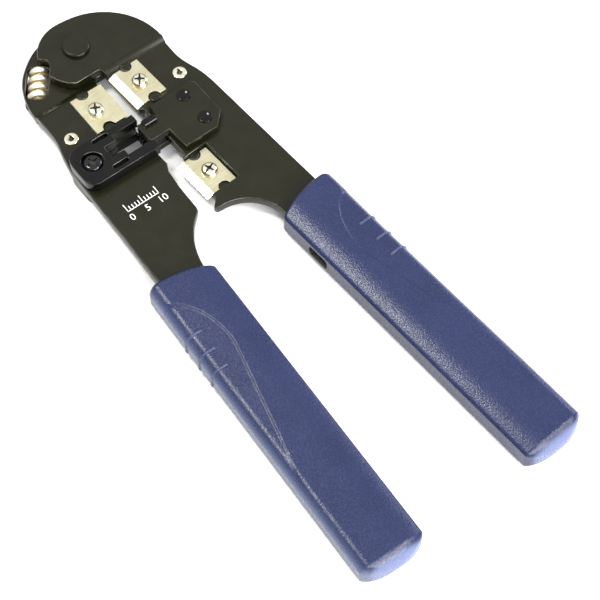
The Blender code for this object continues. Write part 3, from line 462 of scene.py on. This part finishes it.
def roll_edges(bm, radius, choose=is_rim, segments=2):
    """Bevel the chosen edges and mark the points inside the bevels for a pale tint, partly wear and partly
    painted highlight.
    """
    wear_and_highlight = bm.verts.layers.float.get("wear_and_highlight") or bm.verts.layers.float.new("wear_and_highlight")
    edges = [edge for edge in bm.edges if choose(edge)]
    made = bmesh.ops.bevel(bm, geom=edges, offset=radius * MM, offset_type="OFFSET", segments=segments,
                           profile=0.5, affect="EDGES", material=-1, clamp_overlap=False)
    rolled = set(made["faces"])
    for vert in made["verts"]:
        if all(face in rolled for face in vert.link_faces):
            vert[wear_and_highlight] = 1.0
    return len(edges)


def weigh_normals(piece):
    """Keep the flats flat while the rolled edges shade round."""
    step = piece.modifiers.new("flat_faces", "WEIGHTED_NORMAL")
    step.keep_sharp = True
    step.weight = 100


def rolled_piece(node_name, new_name, finish, radius, shape=None):
    """A frame piece again, with rolled edges and its own finish."""
    bm = merged_copy(node_name)
    if shape:
        shape(bm)
    count = roll_edges(bm, radius)
    piece = settle(bm, new_name, finish, body_of(node_name), [node_name])
    weigh_normals(piece)
    print(new_name, "rolled edges:", count, "faces:", len(piece.data.polygons))
    return piece


# %% [markdown]
# The arms lap at the rivet, so each is pressed up or down by half its thickness just below the round
# end. A press leaves a soft S there and not a ramp with corners. The copy is cut across by a row of
# planes, and each slice is then lifted from the straight ramp to a smooth curve a little longer than it.

# %% The two arms
RAMP_TOP_Y = -10.9
RAMP_LOW_Y = -13.1
PRESS_TOP_Y = -10.5
PRESS_LOW_Y = -14.0
PRESS_SLICES = 12
HEAD_STEP = 1.45
ARM_ROLL = 0.38
UPPER_ARM, LOWER_ARM = 1.0, -1.0


def soft_step(t):
    """0 to 1 with level ends."""
    t = min(1.0, max(0.0, t))
    return t * t * (3.0 - 2.0 * t)


def press_arm(up):
    """A function that turns an arm's straight ramp into a pressed S."""
    def press(bm):
        for i in range(PRESS_SLICES + 1):
            y = PRESS_LOW_Y + (PRESS_TOP_Y - PRESS_LOW_Y) * i / PRESS_SLICES
            bmesh.ops.bisect_plane(bm, geom=bm.verts[:] + bm.edges[:] + bm.faces[:], dist=WELD,
                                   plane_co=(0.0, y * MM, 0.0), plane_no=(0.0, 1.0, 0.0))
        for vert in bm.verts:
            y = vert.co.y / MM
            straight = min(1.0, max(0.0, (y - RAMP_LOW_Y) / (RAMP_TOP_Y - RAMP_LOW_Y)))
            curved = soft_step((y - PRESS_LOW_Y) / (PRESS_TOP_Y - PRESS_LOW_Y))
            vert.co.z += up * HEAD_STEP * (curved - straight) * MM
        bm.normal_update()
    return press


rolled_piece("die_arm_plate", "die_arm_steel", arm_black, ARM_ROLL,
             press_arm(LOWER_ARM))
rolled_piece("plunger_arm_plate", "plunger_arm_steel", arm_black, ARM_ROLL,
             press_arm(UPPER_ARM))

# %% [markdown]
# The plug nest is a die casting, glossier than the pressed arms, and its corners are rounder. The two
# plunger plates are stamped, and the toothed driver between them is ground sharp, so their edges are
# rolled less. All of them keep the frame's exact outline, because plugs and plates have to fit.

# %% Nest, plunger plates and driver
NEST_TOP_ROLL = 0.30
NEST_BOTTOM_ROLL = 0.25
STAMPED_ROLL = 0.28
DRIVER_ROLL = 0.05
BAR_ROLL = 0.08

rolled_piece("plug_nest_upper", "plug_nest_top", nest_black, NEST_TOP_ROLL)
rolled_piece("plug_nest_lower", "plug_nest_bottom", nest_black, NEST_BOTTOM_ROLL)
rolled_piece("plunger_plate_upper", "plunger_plate_top", arm_black, STAMPED_ROLL)
rolled_piece("plunger_plate_lower", "plunger_plate_bottom", arm_black, STAMPED_ROLL)
rolled_piece("contact_driver", "toothed_driver", nest_black, DRIVER_ROLL)
rolled_piece("strain_relief_bar", "crimp_bar", nest_black, BAR_ROLL)

# %% [markdown]
# A blade's flats and its ground bevel meet at crisp lines, yet even a ground edge is broken with a stone
# so it doesn't cut the hand. A roll of five hundredths keeps the crisp look and still gives the light a
# line to catch.

# %% The three blades
STONED_ROLL = 0.05

for blade in ("fixed_strip_blade", "moving_strip_blade", "cutter_blade"):
    rolled_piece(blade, blade + "_ground", blade_steel, STONED_ROLL)

# %% [markdown]
# Heads, pins and rivets are turned or headed round parts. Each starts as a half outline of radius and
# height, joined into a chain of edges, and one full spin about its axis makes the body. The outline has
# small arcs at its corners, since these catch the ring of light that says round metal.


# %% Turned parts
def corner(radius, height, size, start, end, steps=4):
    """Rounded corner of an outline: arc of this size about (radius, height), in degrees."""
    points = []
    for i in range(steps + 1):
        a = math.radians(start + (end - start) * i / steps)
        points.append((radius + size * math.cos(a), height + size * math.sin(a)))
    return points


def turned(outline, at, steps=64):
    """Spin a half outline of (radius, height) in millimetres about an upright line."""
    bm = bmesh.new()
    chain = [bm.verts.new((radius * MM, 0.0, height * MM)) for radius, height in outline]
    links = [bm.edges.new(pair) for pair in zip(chain, chain[1:])]
    bmesh.ops.spin(bm, geom=chain + links, cent=(0.0, 0.0, 0.0), axis=(0.0, 0.0, 1.0),
                   angle=math.tau, steps=steps, use_merge=True)
    bmesh.ops.remove_doubles(bm, verts=bm.verts, dist=0.001 * MM)
    bmesh.ops.recalc_face_normals(bm, faces=bm.faces)
    bmesh.ops.translate(bm, vec=(at[0] * MM, at[1] * MM, 0.0), verts=bm.verts)
    return bm


def centre_of(node_name):
    """Middle of a frame piece seen from above, and its lowest and highest point, in millimetres."""
    low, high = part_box(node_name)
    middle = (low + high) / 2.0 / MM
    return (middle.x, middle.y), low.z / MM, high.z / MM


def carve(piece, cutters):
    """Cut closed shapes out of a piece for good; the cut faces carry the dark coat of painted shade."""
    for cutter_bm in cutters:
        bmesh.ops.recalc_face_normals(cutter_bm, faces=cutter_bm.faces)
        mesh = bpy.data.meshes.new("cutter")
        cutter_bm.to_mesh(mesh)
        cutter_bm.free()
        # The cut faces take the dark coat of painted shade.
        mesh.materials.append(recess_shade)
        cutter = bpy.data.objects.new("cutter", mesh)
        bpy.context.scene.collection.objects.link(cutter)
        step = piece.modifiers.new("cut", "BOOLEAN")
        step.operation = "DIFFERENCE"
        step.solver = "EXACT"
        step.material_mode = "TRANSFER"
        step.object = cutter
        result = bpy.data.meshes.new_from_object(
            piece.evaluated_get(bpy.context.evaluated_depsgraph_get()))
        piece.modifiers.remove(step)
        piece.data = result
        bpy.data.objects.remove(cutter)


def block(centre, size, turn_deg=0.0):
    """Closed box for cutting, in millimetres, turned about its own upright line."""
    bm = bmesh.new()
    bmesh.ops.create_cube(bm, size=1.0)
    bmesh.ops.scale(bm, vec=Vector(size) * MM, verts=bm.verts)
    bmesh.ops.rotate(bm, cent=(0.0, 0.0, 0.0), matrix=Matrix.Rotation(math.radians(turn_deg), 3, "Z"),
                     verts=bm.verts)
    bmesh.ops.translate(bm, vec=Vector(centre) * MM, verts=bm.verts)
    return bm


# %% [markdown]
# The big rivet is headed cold: a flat black disc with a rolled rim, upset over the stacked arms. Its
# head is nearly flat, so the rim alone tells the eye it stands proud of the arm.

# %% Pivot rivet
RIVET_HEAD_R = 3.95
RIVET_SHANK_R = 3.0
RIVET_ROLL = 0.6
TAIL_ROLL = 0.3
HEAD_CLEAR = 0.05

rivet_at, rivet_low, rivet_top = centre_of("pivot_rivet")
arm_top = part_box("plunger_arm_plate")[1].z / MM
arm_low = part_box("die_arm_plate")[0].z / MM
outline = [(0.0, rivet_low)]
outline += corner(RIVET_HEAD_R - TAIL_ROLL, rivet_low + TAIL_ROLL, TAIL_ROLL, -90.0, 0.0)
outline += [(RIVET_HEAD_R, arm_low), (RIVET_SHANK_R, arm_low), (RIVET_SHANK_R, arm_top + HEAD_CLEAR)]
outline += [(RIVET_HEAD_R, arm_top + HEAD_CLEAR)]
outline += corner(RIVET_HEAD_R - RIVET_ROLL, rivet_top - RIVET_ROLL, RIVET_ROLL, 0.0, 80.0, 7)
outline += [(RIVET_HEAD_R * 0.55, rivet_top - 0.02), (0.0, rivet_top)]
settle(turned(outline, rivet_at, 96), "pivot_rivet_headed", arm_black, "die_arm",
       ["pivot_rivet"])
print("rivet head stands", round(rivet_top - arm_top, 2), "mm proud")

# %% [markdown]
# The bright pins are short tubes with a small flange. Looking down one, the eye meets a dark bore with a
# drift mark on its rim, so the bore is real and a little notch is cut beside it.

# %% Tubular pins
PIN_FLANGE_R = 2.05
PIN_TUBE_R = 1.45
PIN_BORE_R = 0.75
PIN_FLANGE_T = 0.35
PIN_RIM_ROLL = 0.25
PIN_MOUTH_ROLL = 0.2

for pin, body in (("die_arm_pin", "die_arm"), ("plunger_arm_pin", "plunger_arm")):
    at, low, top = centre_of(pin)
    seat = top - PIN_FLANGE_T
    outline = [(PIN_BORE_R, low), (PIN_TUBE_R, low), (PIN_TUBE_R, seat), (PIN_FLANGE_R, seat)]
    outline += corner(PIN_FLANGE_R - PIN_RIM_ROLL, top - PIN_RIM_ROLL, PIN_RIM_ROLL, 0.0, 90.0)
    outline += corner(PIN_BORE_R + PIN_MOUTH_ROLL, top - PIN_MOUTH_ROLL, PIN_MOUTH_ROLL, 90.0, 180.0)
    outline += [(PIN_BORE_R, low)]
    tube = settle(turned(outline, at, 48), pin + "_tube", screw_nickel, body, [pin])
    # The notch's faces carry painted shade.
    carve(tube, [block((at[0] + 0.25, at[1] + 0.75, top - 0.2), (0.5, 1.1, 1.0), 20.0)])
    print(pin, "at", [round(v, 1) for v in at])

# %% [markdown]
# Blade screws have pan heads with a combined recess: a straight slot across a cross, so either driver
# fits. The head is spun, then two thin boxes and a slightly shorter pair are cut from it. The nest's own
# screw is the same shape in black, with a plain cross.

# %% Screws
SCREW_HEAD_R = 2.3
SCREW_HEAD_H = 1.4
SCREW_SHANK_R = 1.2
NEST_SCREW_HEAD_R = 2.8
NEST_SCREW_HEAD_H = 1.5
NEST_SCREW_SHANK_R = 1.7


def pan_head(seat, top, radius, shank_r, low):
    """Half outline of a pan-head screw."""
    height = top - seat
    points = [(0.0, low), (shank_r, low), (shank_r, seat), (radius - 0.1, seat)]
    points += corner(radius - 0.12, seat + 0.12, 0.12, -60.0, 0.0, 3)
    points += corner(radius - height * 0.72, top - height * 0.72, height * 0.72, 8.0, 72.0, 8)
    points += [(radius * 0.3, top - 0.02), (0.0, top)]
    return points


def screw(node_name, new_name, finish, radius, head_h, shank_r, slot_deg, slotted):
    """A pan-head screw in place of a frame piece, with its recess turned by slot_deg."""
    at, low, top = centre_of(node_name)
    outline = pan_head(top - head_h, top, radius, shank_r, low)
    made = settle(turned(outline, at, 56), new_name, finish, body_of(node_name), [node_name])
    deep = head_h * 0.55
    arm = radius * 0.62
    cuts = [block((*at, top), (2.0 * arm, 0.52, 2.0 * deep), slot_deg),
            block((*at, top), (0.54, 2.0 * arm, 2.04 * deep), slot_deg),
            block((*at, top), (radius * 0.55, radius * 0.55, 1.7 * deep), slot_deg + 45.0)]
    if slotted:
        cuts.append(block((*at, top), (2.2 * radius, 0.46, deep), slot_deg))
    # The recess faces carry painted shade.
    carve(made, cuts)
    made.data.shade_smooth()
    made.data.set_sharp_from_angle(angle=math.radians(32.0))


for owner, slot_deg in (("fixed_strip_blade", 62.0), ("moving_strip_blade", 55.0), ("cutter_blade", 20.0)):
    screw(owner + "_screw", owner + "_pan_screw", screw_nickel, SCREW_HEAD_R,
          SCREW_HEAD_H, SCREW_SHANK_R, slot_deg, True)
screw("plug_nest_screw", "plug_nest_cross_screw", screw_black, NEST_SCREW_HEAD_R,
      NEST_SCREW_HEAD_H, NEST_SCREW_SHANK_R, 12.0, False)
print("screws done")

# %% [markdown]
# Two rivets hold the plunger plates. They are headed flush and then blackened with the plates, so only
# a faint ring and a shallow dimple show.

# %% Plunger rivets
PLATE_RIVET_R = 1.5
PLATE_HEAD_R = 2.0
PLATE_HEAD_H = 0.35
PLATE_HEAD_ROLL = 0.25

for number in ("1", "2"):
    name = "plunger_rivet_" + number
    at, low, top = centre_of(name)
    outline = [(0.0, low), (PLATE_HEAD_R - 0.3, low), (PLATE_HEAD_R, low + PLATE_HEAD_H)]
    outline += [(PLATE_RIVET_R, low + PLATE_HEAD_H), (PLATE_RIVET_R, top - PLATE_HEAD_H)]
    outline += [(PLATE_HEAD_R, top - PLATE_HEAD_H)]
    outline += corner(PLATE_HEAD_R - PLATE_HEAD_ROLL, top - PLATE_HEAD_ROLL, PLATE_HEAD_ROLL, 0.0, 90.0)
    outline += [(1.35, top), (1.15, top - 0.14), (0.5, top - 0.2), (0.0, top - 0.2)]
    settle(turned(outline, at, 48), name + "_headed", nest_black, "plunger_arm", [name])
print("plunger rivets done")

# %% [markdown]
# The return spring is fat round wire. A disc is spun about the spring's axis while it also moves along it,
# which winds the coil in one operator. It is wound one turn too long and then cut off square at both ends,
# as real springs are ground flat to stand square in the window of the lower arm. A spring doesn't bend when
# the handles close, it shortens.

# %% Return spring
SPRING_LEAN_DEG = 37.7
SPRING_R = 2.85
SPRING_WIRE = 0.98
SPRING_LEN = 11.0
SPRING_TURNS = 4.0
SPRING_STEPS = 200
SPRING_AT = (-14.55, -1.6)
HEAD_MIDDLE_Z = 3.25

bm = bmesh.new()
pitch = SPRING_LEN / SPRING_TURNS
travel = pitch * (SPRING_TURNS + 1.0)
mean_r = SPRING_R - SPRING_WIRE
bmesh.ops.create_circle(bm, cap_ends=True, segments=20, radius=SPRING_WIRE * MM)
bmesh.ops.rotate(bm, cent=(0.0, 0.0, 0.0), matrix=Matrix.Rotation(math.radians(90.0), 3, "Y"),
                 verts=bm.verts)
bmesh.ops.translate(bm, vec=(0.0, -travel / 2.0 * MM, mean_r * MM), verts=bm.verts)
bmesh.ops.spin(bm, geom=bm.verts[:] + bm.edges[:] + bm.faces[:], cent=(0.0, 0.0, 0.0),
               axis=(0.0, 1.0, 0.0), dvec=(0.0, travel / SPRING_STEPS * MM, 0.0),
               angle=(SPRING_TURNS + 1.0) * math.tau, steps=SPRING_STEPS, use_merge=False)
bmesh.ops.remove_doubles(bm, verts=bm.verts, dist=0.001 * MM)
bmesh.ops.recalc_face_normals(bm, faces=bm.faces)
for end in (-1.0, 1.0):
    bmesh.ops.bisect_plane(bm, geom=bm.verts[:] + bm.edges[:] + bm.faces[:], dist=0.0005 * MM,
                           plane_co=(0.0, end * SPRING_LEN / 2.0 * MM, 0.0),
                           plane_no=(0.0, end, 0.0), clear_outer=True)
    bmesh.ops.holes_fill(bm, edges=[e for e in bm.edges if e.is_boundary], sides=0)
bmesh.ops.rotate(bm, cent=(0.0, 0.0, 0.0),
                 matrix=Matrix.Rotation(-math.radians(SPRING_LEAN_DEG), 3, "Z"), verts=bm.verts)
bmesh.ops.translate(bm, vec=(SPRING_AT[0] * MM, SPRING_AT[1] * MM, HEAD_MIDDLE_Z * MM), verts=bm.verts)
coil = settle(bm, "return_spring_wire", wire_zinc, "die_arm", ["return_spring"], 60.0)
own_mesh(coil)
print("spring faces:", len(coil.data.polygons))

# %% [markdown]
# Each grip is a moulded sleeve pushed over the arm's tang. Its section has a large rounding on the
# outside, where the palm is, and a small one inside, and its top falls away towards the inside. One ring
# of points is extruded down the length, and every new ring is placed from that section at its distance:
# bowed mouth, crowned top, rounded end. A hollow for the thumb and three small ribs are pressed into the
# same surface. Each point remembers its number in the ring, so it always knows its place.

# %% Grip sizes
GRIP_AT = (21.0, -78.4)
GRIP_TILT_DEG = 3.08
GRIP_HALF_W = 9.5
GRIP_L = 99.0
GRIP_HALF_H = 4.7
OUTER_R = 3.0
INNER_R = 0.9
CROWN_FROM = -2.0
CROWN_FALL = 1.5
CROWN_POWER = 2.2
DOME_FROM = 95.6
MOUTH_DROP = 3.3
MOUTH_FLAT_X = 6.5
MOUTH_BLEND = 30.0
MOUTH_CORNER = 0.7
MOUTH_LIP = 0.8
LIP_SIDE = 0.3
LIP_TOP = 0.4
DOME_EDGE = 1.35
DOME_CLOSE = 2.2
RIB_AT = (18.3, 24.5, 30.3)
RIB_START_X = 4.2
RIB_HALF = 0.45
RIB_UP = 0.36
THUMB_AT = 24.5
THUMB_IN_X = -0.98
THUMB_UP_RUN = 17.0
THUMB_LEAN = 0.2
THUMB_STEP = 0.26
THUMB_SLOPE = 0.04
THUMB_END = 80.0
THUMB_FADE = 30.0
THUMB_BEND = 1.5


def section_arc(cx, cz, radius, start, end, steps):
    """Points of one rounded corner of the section."""
    spots = [math.radians(start + (end - start) * i / steps) for i in range(steps + 1)]
    return [(cx + radius * math.cos(a), cz + radius * math.sin(a)) for a in spots]


def section_line(first, last, steps):
    """Points strictly between two corners of the section."""
    return [(first[0] + (last[0] - first[0]) * i / steps, first[1] + (last[1] - first[1]) * i / steps)
            for i in range(1, steps)]


def grip_section():
    """Closed section of the sleeve from the bottom of its outer side, anticlockwise."""
    w, h = GRIP_HALF_W, GRIP_HALF_H
    out_x, out_z = w - OUTER_R, h - OUTER_R
    in_x, in_z = w - INNER_R, h - INNER_R
    ring = section_arc(out_x, -out_z, OUTER_R, -90, 0, 14)
    ring += section_line((w, -out_z), (w, out_z), 6)
    ring += section_arc(out_x, out_z, OUTER_R, 0, 90, 18)
    ring += section_line((out_x, h), (-in_x, h), 92)
    ring += section_arc(-in_x, in_z, INNER_R, 90, 180, 7)
    ring += section_line((-w, in_z), (-w, -in_z), 10)
    ring += section_arc(-in_x, -in_z, INNER_R, 180, 270, 7)
    ring += section_line((-in_x, -h), (out_x, -h), 30)
    fallen = []
    for x, z in ring:
        past = max(0.0, (CROWN_FROM - x) / (GRIP_HALF_W + CROWN_FROM))
        fallen.append((x, z * (1.0 - CROWN_FALL / h * past ** CROWN_POWER)))
    return fallen


SECTION = grip_section()
print("grip section has", len(SECTION), "points")

# %% [markdown]
# These short rules say where the sleeve's surface lies at any distance from the mouth. The end is a low
# dome: it shrinks slowly at first, which leaves a firm edge, and then closes fast. The hollow's border
# is an arc above the ribs and a nearly straight line below them.


# %% Grip rules
def grip_scale(down):
    """How much the section shrinks at this distance, sideways and in height."""
    lip = max(0.0, 1.0 - down / MOUTH_LIP)
    wide = 1.0 - LIP_SIDE / GRIP_HALF_W * lip * lip
    tall = 1.0 - LIP_TOP / GRIP_HALF_H * lip * lip
    t = (down - DOME_FROM) / (GRIP_L - DOME_FROM)
    if t > 0.0:
        shrink = max(0.0, 1.0 - t ** DOME_EDGE) ** (1.0 / DOME_CLOSE)
        wide *= shrink
        tall *= shrink
    return wide, tall


def thumb_border(down):
    """Where across the sleeve the hollow begins."""
    past = down - THUMB_AT
    if past < 0.0:
        reach = math.sqrt(max(0.0, 1.0 - (past / THUMB_UP_RUN) ** 2))
        return GRIP_HALF_W + (THUMB_IN_X - GRIP_HALF_W) * reach
    return THUMB_IN_X + THUMB_LEAN * (math.sqrt(past * past + THUMB_BEND ** 2) - THUMB_BEND)


def thumb_hollow(x, down):
    """Depth of the thumb hollow at a point of the top face."""
    inside = x - thumb_border(down)
    if inside <= 0.0 or down < THUMB_AT - THUMB_UP_RUN:
        return 0.0
    fade = soft_step((THUMB_END - down) / THUMB_FADE)
    return (THUMB_STEP * soft_step(inside / 0.6) + THUMB_SLOPE * inside) * fade


def rib_height(x, down):
    """Height of the nearest rib at a point of the outer side, as a share of its full height."""
    nearest = min(abs(down - at) for at in RIB_AT)
    if nearest > RIB_HALF or x < RIB_START_X:
        return 0.0
    return soft_step((x - RIB_START_X) / 0.6) * math.sqrt(1.0 - (nearest / RIB_HALF) ** 2)


def grip_place(x, z, down, side, lift=0.0):
    """A point of the sleeve's own frame in the tool's place, in metres."""
    bow = -lift * max(0.0, 1.0 - down / MOUTH_BLEND)
    if x < MOUTH_FLAT_X and down < MOUTH_BLEND:
        share = (MOUTH_FLAT_X - x) / (MOUTH_FLAT_X + GRIP_HALF_W)
        bow += MOUTH_DROP * share * share * (1.0 - down / MOUTH_BLEND)
    if x > MOUTH_FLAT_X and down < 4.0:
        bow += MOUTH_CORNER * ((x - MOUTH_FLAT_X) / 3.0) ** 2 * (1.0 - down / 4.0) ** 2
    y = -down - bow
    a = math.radians(GRIP_TILT_DEG)
    px = x * math.cos(a) - y * math.sin(a) + GRIP_AT[0]
    py = x * math.sin(a) + y * math.cos(a) + GRIP_AT[1]
    return Vector((side * px, py, z + GRIP_HALF_H)) * MM


def grip_surface(number, down, side, lift):
    """A point of the finished sleeve and how much painted highlight it gets there."""
    wide, tall = grip_scale(down)
    x, z = SECTION[number]
    rib = rib_height(x, down)
    high = z / GRIP_HALF_H
    if z > 0.0:
        z -= thumb_hollow(x, down) * min(1.0, high * 1.3)
    z += RIB_UP * rib * max(0.0, high) * wide
    x += RIB_UP * rib * max(0.0, x / GRIP_HALF_W) ** 6
    # Painted highlight: the end face and the outer side are marked for a paler tint, and the ribs a little.
    end = soft_step((down - DOME_FROM - 1.0) / 1.4)
    lit_outer_side = soft_step((x - 7.6) / 1.9) * 0.5
    return grip_place(x * wide, z * tall, down, side, lift), min(1.0, max(0.3 * rib, end, lit_outer_side))


print("hollow reaches across to", THUMB_IN_X, "mm")

# %% [markdown]
# Now the sleeve is drawn. Rings are close together where there is detail, at the mouth, over the ribs and
# at the end, and further apart on the plain stretch. Then the pocket for the arm and the small side window
# are cut through, and their cut faces carry the dark coat of painted shade inside them.


# %% Grip shape
def grip_rings():
    """Distances from the mouth at which the sleeve gets a ring."""
    rings = {0.0, 0.1, 0.25, 0.45, 0.8, 1.3, 2.0, 2.8, 3.6}
    rings |= {4.4 + 0.6 * i for i in range(127)}
    for at in RIB_AT:
        rings |= {at + RIB_HALF * off for off in (-1.0, -0.9, -0.65, -0.35, 0.0, 0.35, 0.65, 0.9, 1.0)}
    rings |= {82.0 + 1.35 * i for i in range(11)}
    dome = GRIP_L - DOME_FROM
    rings |= {DOME_FROM + dome * share for share in (0.0, 0.02, 0.05, 0.1, 0.17, 0.25, 0.35, 0.46, 0.58,
                                                     0.7, 0.8, 0.88, 0.94, 0.98, 0.997)}
    return sorted(rings)


def build_grip(node_name, new_name, side, lift):
    """The sleeve of one grip, drawn ring by ring from its mouth; lift carries the mouth up the arm."""
    bm = bmesh.new()
    number_layer = bm.verts.layers.int.new("number")
    highlight_layer = bm.verts.layers.float.new("wear_and_highlight")
    count = len(SECTION)
    start = bmesh.ops.create_circle(bm, cap_ends=False, segments=count, radius=1.0)
    loop_verts = start["verts"]
    for vert in loop_verts:
        share = math.atan2(vert.co.y, vert.co.x) / math.tau
        vert[number_layer] = round(share * count) % count
    loop_edges = bm.edges[:]
    for down in grip_rings():
        if down > 0.0:
            grown = bmesh.ops.extrude_edge_only(bm, edges=loop_edges)["geom"]
            loop_verts = [g for g in grown if isinstance(g, bmesh.types.BMVert)]
            fresh = set(loop_verts)
            loop_edges = [e for e in grown if isinstance(e, bmesh.types.BMEdge)
                          and all(v in fresh for v in e.verts)]
        for vert in loop_verts:
            vert.co, vert[highlight_layer] = grip_surface(vert[number_layer], down, side, lift)
    bmesh.ops.holes_fill(bm, edges=bm.edges, sides=0)
    bmesh.ops.recalc_face_normals(bm, faces=bm.faces)
    return settle(bm, new_name, grip_blue, body_of(node_name), [node_name])


TANG_OUT = 6.6
TANG_SIDE = 4.9
TANG_IN = -7.7
POCKET_HALF_H = 1.7
WINDOW_AT = 15.0
WINDOW_LONG = 7.2
WINDOW_TALL = 3.6
WINDOW_DEEP = 4.4
WINDOW_CORNER = 1.1


def grip_cutters(side):
    """The pocket for the arm, as a slab with the tang's plan, and the small side window."""
    plan = [(TANG_OUT, -8.0), (TANG_OUT, 20.4), (TANG_SIDE, 26.3), (TANG_SIDE, 82.3),
            (-TANG_SIDE, 82.3), (-TANG_SIDE, 23.0), (TANG_IN, 19.0), (TANG_IN, 6.5),
            (TANG_IN - 0.7, 3.0), (TANG_IN - 0.7, -8.0)]
    pocket = bmesh.new()
    a = math.radians(GRIP_TILT_DEG)
    verts = []
    for x, down in plan:
        px = x * math.cos(a) + down * math.sin(a) + GRIP_AT[0]
        py = x * math.sin(a) - down * math.cos(a) + GRIP_AT[1]
        verts.append(pocket.verts.new((side * px * MM, py * MM, (GRIP_HALF_H - POCKET_HALF_H) * MM)))
    slab = bmesh.ops.extrude_face_region(pocket, geom=[pocket.faces.new(verts)])["geom"]
    bmesh.ops.translate(pocket, vec=(0.0, 0.0, 2.0 * POCKET_HALF_H * MM),
                        verts=[g for g in slab if isinstance(g, bmesh.types.BMVert)])
    window = grip_place(-GRIP_HALF_W, 0.0, WINDOW_AT, side) / MM
    opening = block(window, (WINDOW_DEEP, WINDOW_LONG, WINDOW_TALL), side * GRIP_TILT_DEG)
    through = [e for e in opening.edges if abs(e.verts[0].co.z - e.verts[1].co.z) < MM
               and abs(e.verts[0].co.x - e.verts[1].co.x) > 3.0 * MM]
    bmesh.ops.bevel(opening, geom=through, offset=WINDOW_CORNER * MM, offset_type="OFFSET", segments=4,
                    profile=0.5, affect="EDGES", material=-1)
    return [pocket, opening]


for node_name, new_name, side, lift in (("die_arm_grip", "die_arm_sleeve", -1.0, 0.25),
                                        ("plunger_arm_grip", "plunger_arm_sleeve", 1.0, 0.9)):
    sleeve = build_grip(node_name, new_name, side, lift)
    # The pocket and window faces carry painted shade.
    carve(sleeve, grip_cutters(side))
    sleeve.data.shade_smooth()
    sleeve.data.set_sharp_from_angle(angle=math.radians(48.0))
    print(new_name, "faces:", len(sleeve.data.polygons))

# %% [markdown]
# The die arm carries a white printed rule for the stripped length of a cable. It is screen-printed ink,
# a film about two hundredths thick, so its ticks are thin slabs laid on the steel, and the numbers are
# text raised by the same amount.

# %% Printed strip-length rule
RULE_AT = (-19.6, -53.4)
RULE_LONG = 10
INK_THICK = 0.02
INK_LINE = 0.26
TICK_LONG = 2.6
TICK_SHORT = 1.5
NUMBER_TALL = 3.0
NUMBER_DROP = 0.7

arm_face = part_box("fixed_strip_blade")[0].z / MM
bm = bmesh.new()
for step in range(RULE_LONG + 1):
    long = TICK_LONG if step % 5 == 0 else TICK_SHORT
    made = bmesh.ops.create_cube(bm, size=1.0)["verts"]
    bmesh.ops.scale(bm, vec=(INK_LINE * MM, long * MM, INK_THICK * MM), verts=made)
    bmesh.ops.translate(bm, vec=((RULE_AT[0] + step) * MM, (RULE_AT[1] + long / 2.0) * MM,
                                 (arm_face + INK_THICK / 2.0) * MM), verts=made)
made = bmesh.ops.create_cube(bm, size=1.0)["verts"]
bmesh.ops.scale(bm, vec=((RULE_LONG + INK_LINE) * MM, INK_LINE * MM, INK_THICK * MM), verts=made)
bmesh.ops.translate(bm, vec=((RULE_AT[0] + RULE_LONG / 2.0) * MM, RULE_AT[1] * MM,
                             (arm_face + INK_THICK / 2.0) * MM), verts=made)
settle(bm, "printed_rule", print_white, "die_arm")
for label, step in (("0", 0.0), ("5", 5.0), ("10", 10.0)):
    words = bpy.data.curves.new("printed_" + label, "FONT")
    words.body = label
    words.size = NUMBER_TALL * MM
    words.extrude = INK_THICK / 2.0 * MM
    words.align_x = "CENTER"
    words.align_y = "TOP"
    words.materials.append(print_white)
    number = bpy.data.objects.new("printed_" + label, words)
    bpy.context.scene.collection.objects.link(number)
    number.location = Vector((RULE_AT[0] + step, RULE_AT[1] - NUMBER_DROP, arm_face + INK_THICK / 2.0)) * MM
    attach(number, "die_arm")
print("rule printed, millimetres:", RULE_LONG)

# %% [markdown]
# The table is only there to catch the light and the soft shadow under the tool. It is plain and pale,
# with a very slight mottling so that it doesn't look like empty space.

# %% Pale floor
FLOOR_HALF = 2500.0
FLOOR_DROP = 0.03
FLOOR_PATCH_MM = 60.0

made, tree, shader, place = start_material("pale_table")
mottle = add_node(tree, "ShaderNodeTexNoise",
                  {"Vector": place, "Scale": per_mm(FLOOR_PATCH_MM), "Detail": 3.0})
tree.links.new(blend_colours(tree, mottle.outputs[0], "#E9E9E8", "#E4E4E3"),
               shader.inputs["Base Color"])
shader.inputs["Roughness"].default_value = 0.7
bm = bmesh.new()
bmesh.ops.create_grid(bm, x_segments=1, y_segments=1, size=FLOOR_HALF * MM)
bmesh.ops.translate(bm, vec=(0.0, 0.0, -FLOOR_DROP * MM), verts=bm.verts)
floor_mesh = bpy.data.meshes.new("floor")
bm.to_mesh(floor_mesh)
bm.free()
floor_mesh.materials.append(made)
floor = bpy.data.objects.new("floor", floor_mesh)
bpy.context.scene.collection.objects.link(floor)
print("floor drawn this far under the tool, in millimetres:", FLOOR_DROP)
